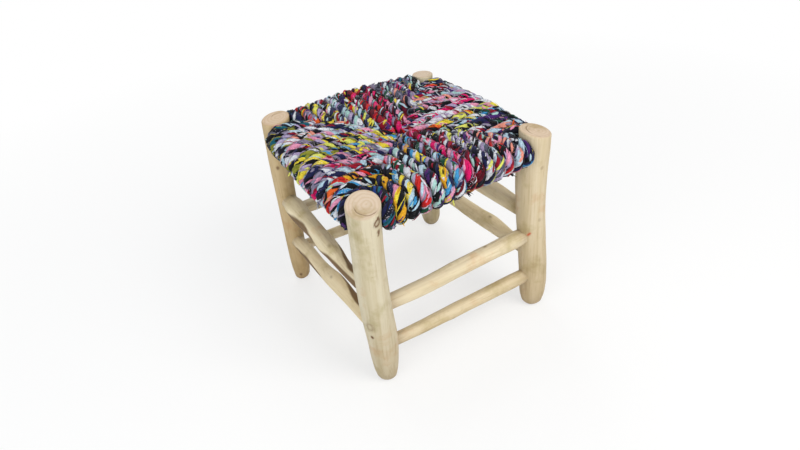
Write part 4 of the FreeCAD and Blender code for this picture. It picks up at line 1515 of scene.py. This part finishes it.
def cloth(name, layer):
    """Torn cotton painted by a mesh layer, whose alpha says how much of a print it has."""
    material, tree = new_material(name)
    place = tree.nodes.new("ShaderNodeTexCoord").outputs["Object"]
    paint = add_node(tree, "ShaderNodeVertexColor", {"layer_name": layer})
    crease = soft_noise(tree, place, scale=420.0, detail=6.0, roughness=0.7)
    weave = soft_noise(tree, place, scale=2100.0, detail=2.0, roughness=0.5)
    cells = add_node(tree, "ShaderNodeTexVoronoi", Vector=place, Scale=520.0)
    dots = work_out(tree, "LESS_THAN", cells.outputs["Distance"], dot_size)
    print_share = work_out(tree, "MULTIPLY", dots, paint.outputs["Alpha"])
    printed = mix(tree, "MIX", print_share, paint.outputs["Color"], dot_colour)
    # Painted shade and painted highlight: the cloth's colour is darker in the creases and brighter
    # between them.
    shade = add_node(tree, "ShaderNodeMapRange", Value=crease, From_Min=0.32, From_Max=0.70,
                     To_Min=crease_shade, To_Max=crease_highlight)
    wear_and_shade = add_node(tree, "ShaderNodeVectorMath", {"operation": "SCALE"}, _0=printed,
                    Scale=shade.outputs[0])
    rough = work_out(tree, "MULTIPLY_ADD", weave, weave_bump, crease)
    bump = add_node(tree, "ShaderNodeBump", Height=rough, Strength=0.9, Distance=0.0011)
    shader = add_node(tree, "ShaderNodeBsdfPrincipled", Base_Color=wear_and_shade.outputs[0], Roughness=0.9,
                      Specular_IOR_Level=0.15, Sheen_Weight=0.06, Sheen_Roughness=0.5,
                      Normal=bump.outputs[0])
    add_node(tree, "ShaderNodeOutputMaterial", Surface=shader.outputs[0])
    return material


rag_cloth = cloth("rag_cloth", "cloth")
for piece in rope_pieces:
    piece.data.materials.append(rag_cloth)
print("cloth nodes:", len(rag_cloth.node_tree.nodes))

# %% [markdown]
# Between the upper and the lower loops the seat is packed with rags. Little of it shows,
# only darkness between two strands, but without it light would come through. A box would
# poke out at the poles and leave flat faces in the gaps, so it is a lumpy rounded pad, its
# corners cut back from the poles. It is soft.

# %% The shape of the stuffing
pad_low, pad_high = (Vector(c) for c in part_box("seat_stuffing"))
pad_rings, pad_around = 26, 88
pad_inset_share, pad_squareness = 0.985, 5
pad_corner, pad_cut = 0.196, 0.62
pad_crown = 0.0018
pad_lump, lumps_per_metre = 0.0022, 70


def pad_point(share, bearing, high):
    """A point of the pad: a rounded square, its two faces swelling towards the middle."""
    across, ahead = math.cos(bearing), math.sin(bearing)
    power = pad_squareness
    square = share * (abs(across) ** power + abs(ahead) ** power) ** (-1 / power)
    x = pad_high.x * pad_inset_share * across * square
    y = pad_high.y * pad_inset_share * ahead * square
    past_corner = max(0.0, abs(x) + abs(y) - pad_corner)
    x -= math.copysign(past_corner * pad_cut, x)
    y -= math.copysign(past_corner * pad_cut, y)
    lump = noise.noise(Vector((x, y, 0.3 if high else 5.1)) * lumps_per_metre) * pad_lump
    half = (pad_high.z - pad_low.z) / 2 + pad_crown
    rise = (half + lump) * (1 - share ** 4) ** 0.5
    return x, y, (pad_low.z + pad_high.z) / 2 + (rise if high else -rise)


print("stuffing's middle rises to", round(pad_point(0.02, 0, True)[2], 4))

# %% The stuffing
out_shares = np.linspace(0.02, 1, pad_rings)
levels = [(share, False) for share in out_shares[:-1]] + [(share, True) for share in out_shares[::-1]]
pad = [[pad_point(share, 2 * math.pi * i / pad_around, high) for i in range(pad_around)]
       for share, high in levels]
# The stuffing is painted near black: painted shade that shows in the gaps between strands.
pad_shade_paint = np.tile((*chart_colour(14, 14, 20), 0.0), (len(pad), pad_around, 1))
stuffing = tube_mesh("rag_stuffing", [(np.array(pad), pad_shade_paint)])
stuffing.data.materials.append(rag_cloth)
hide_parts("seat_stuffing")
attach(stuffing, "root")
print("stuffing points:", len(stuffing.data.vertices))
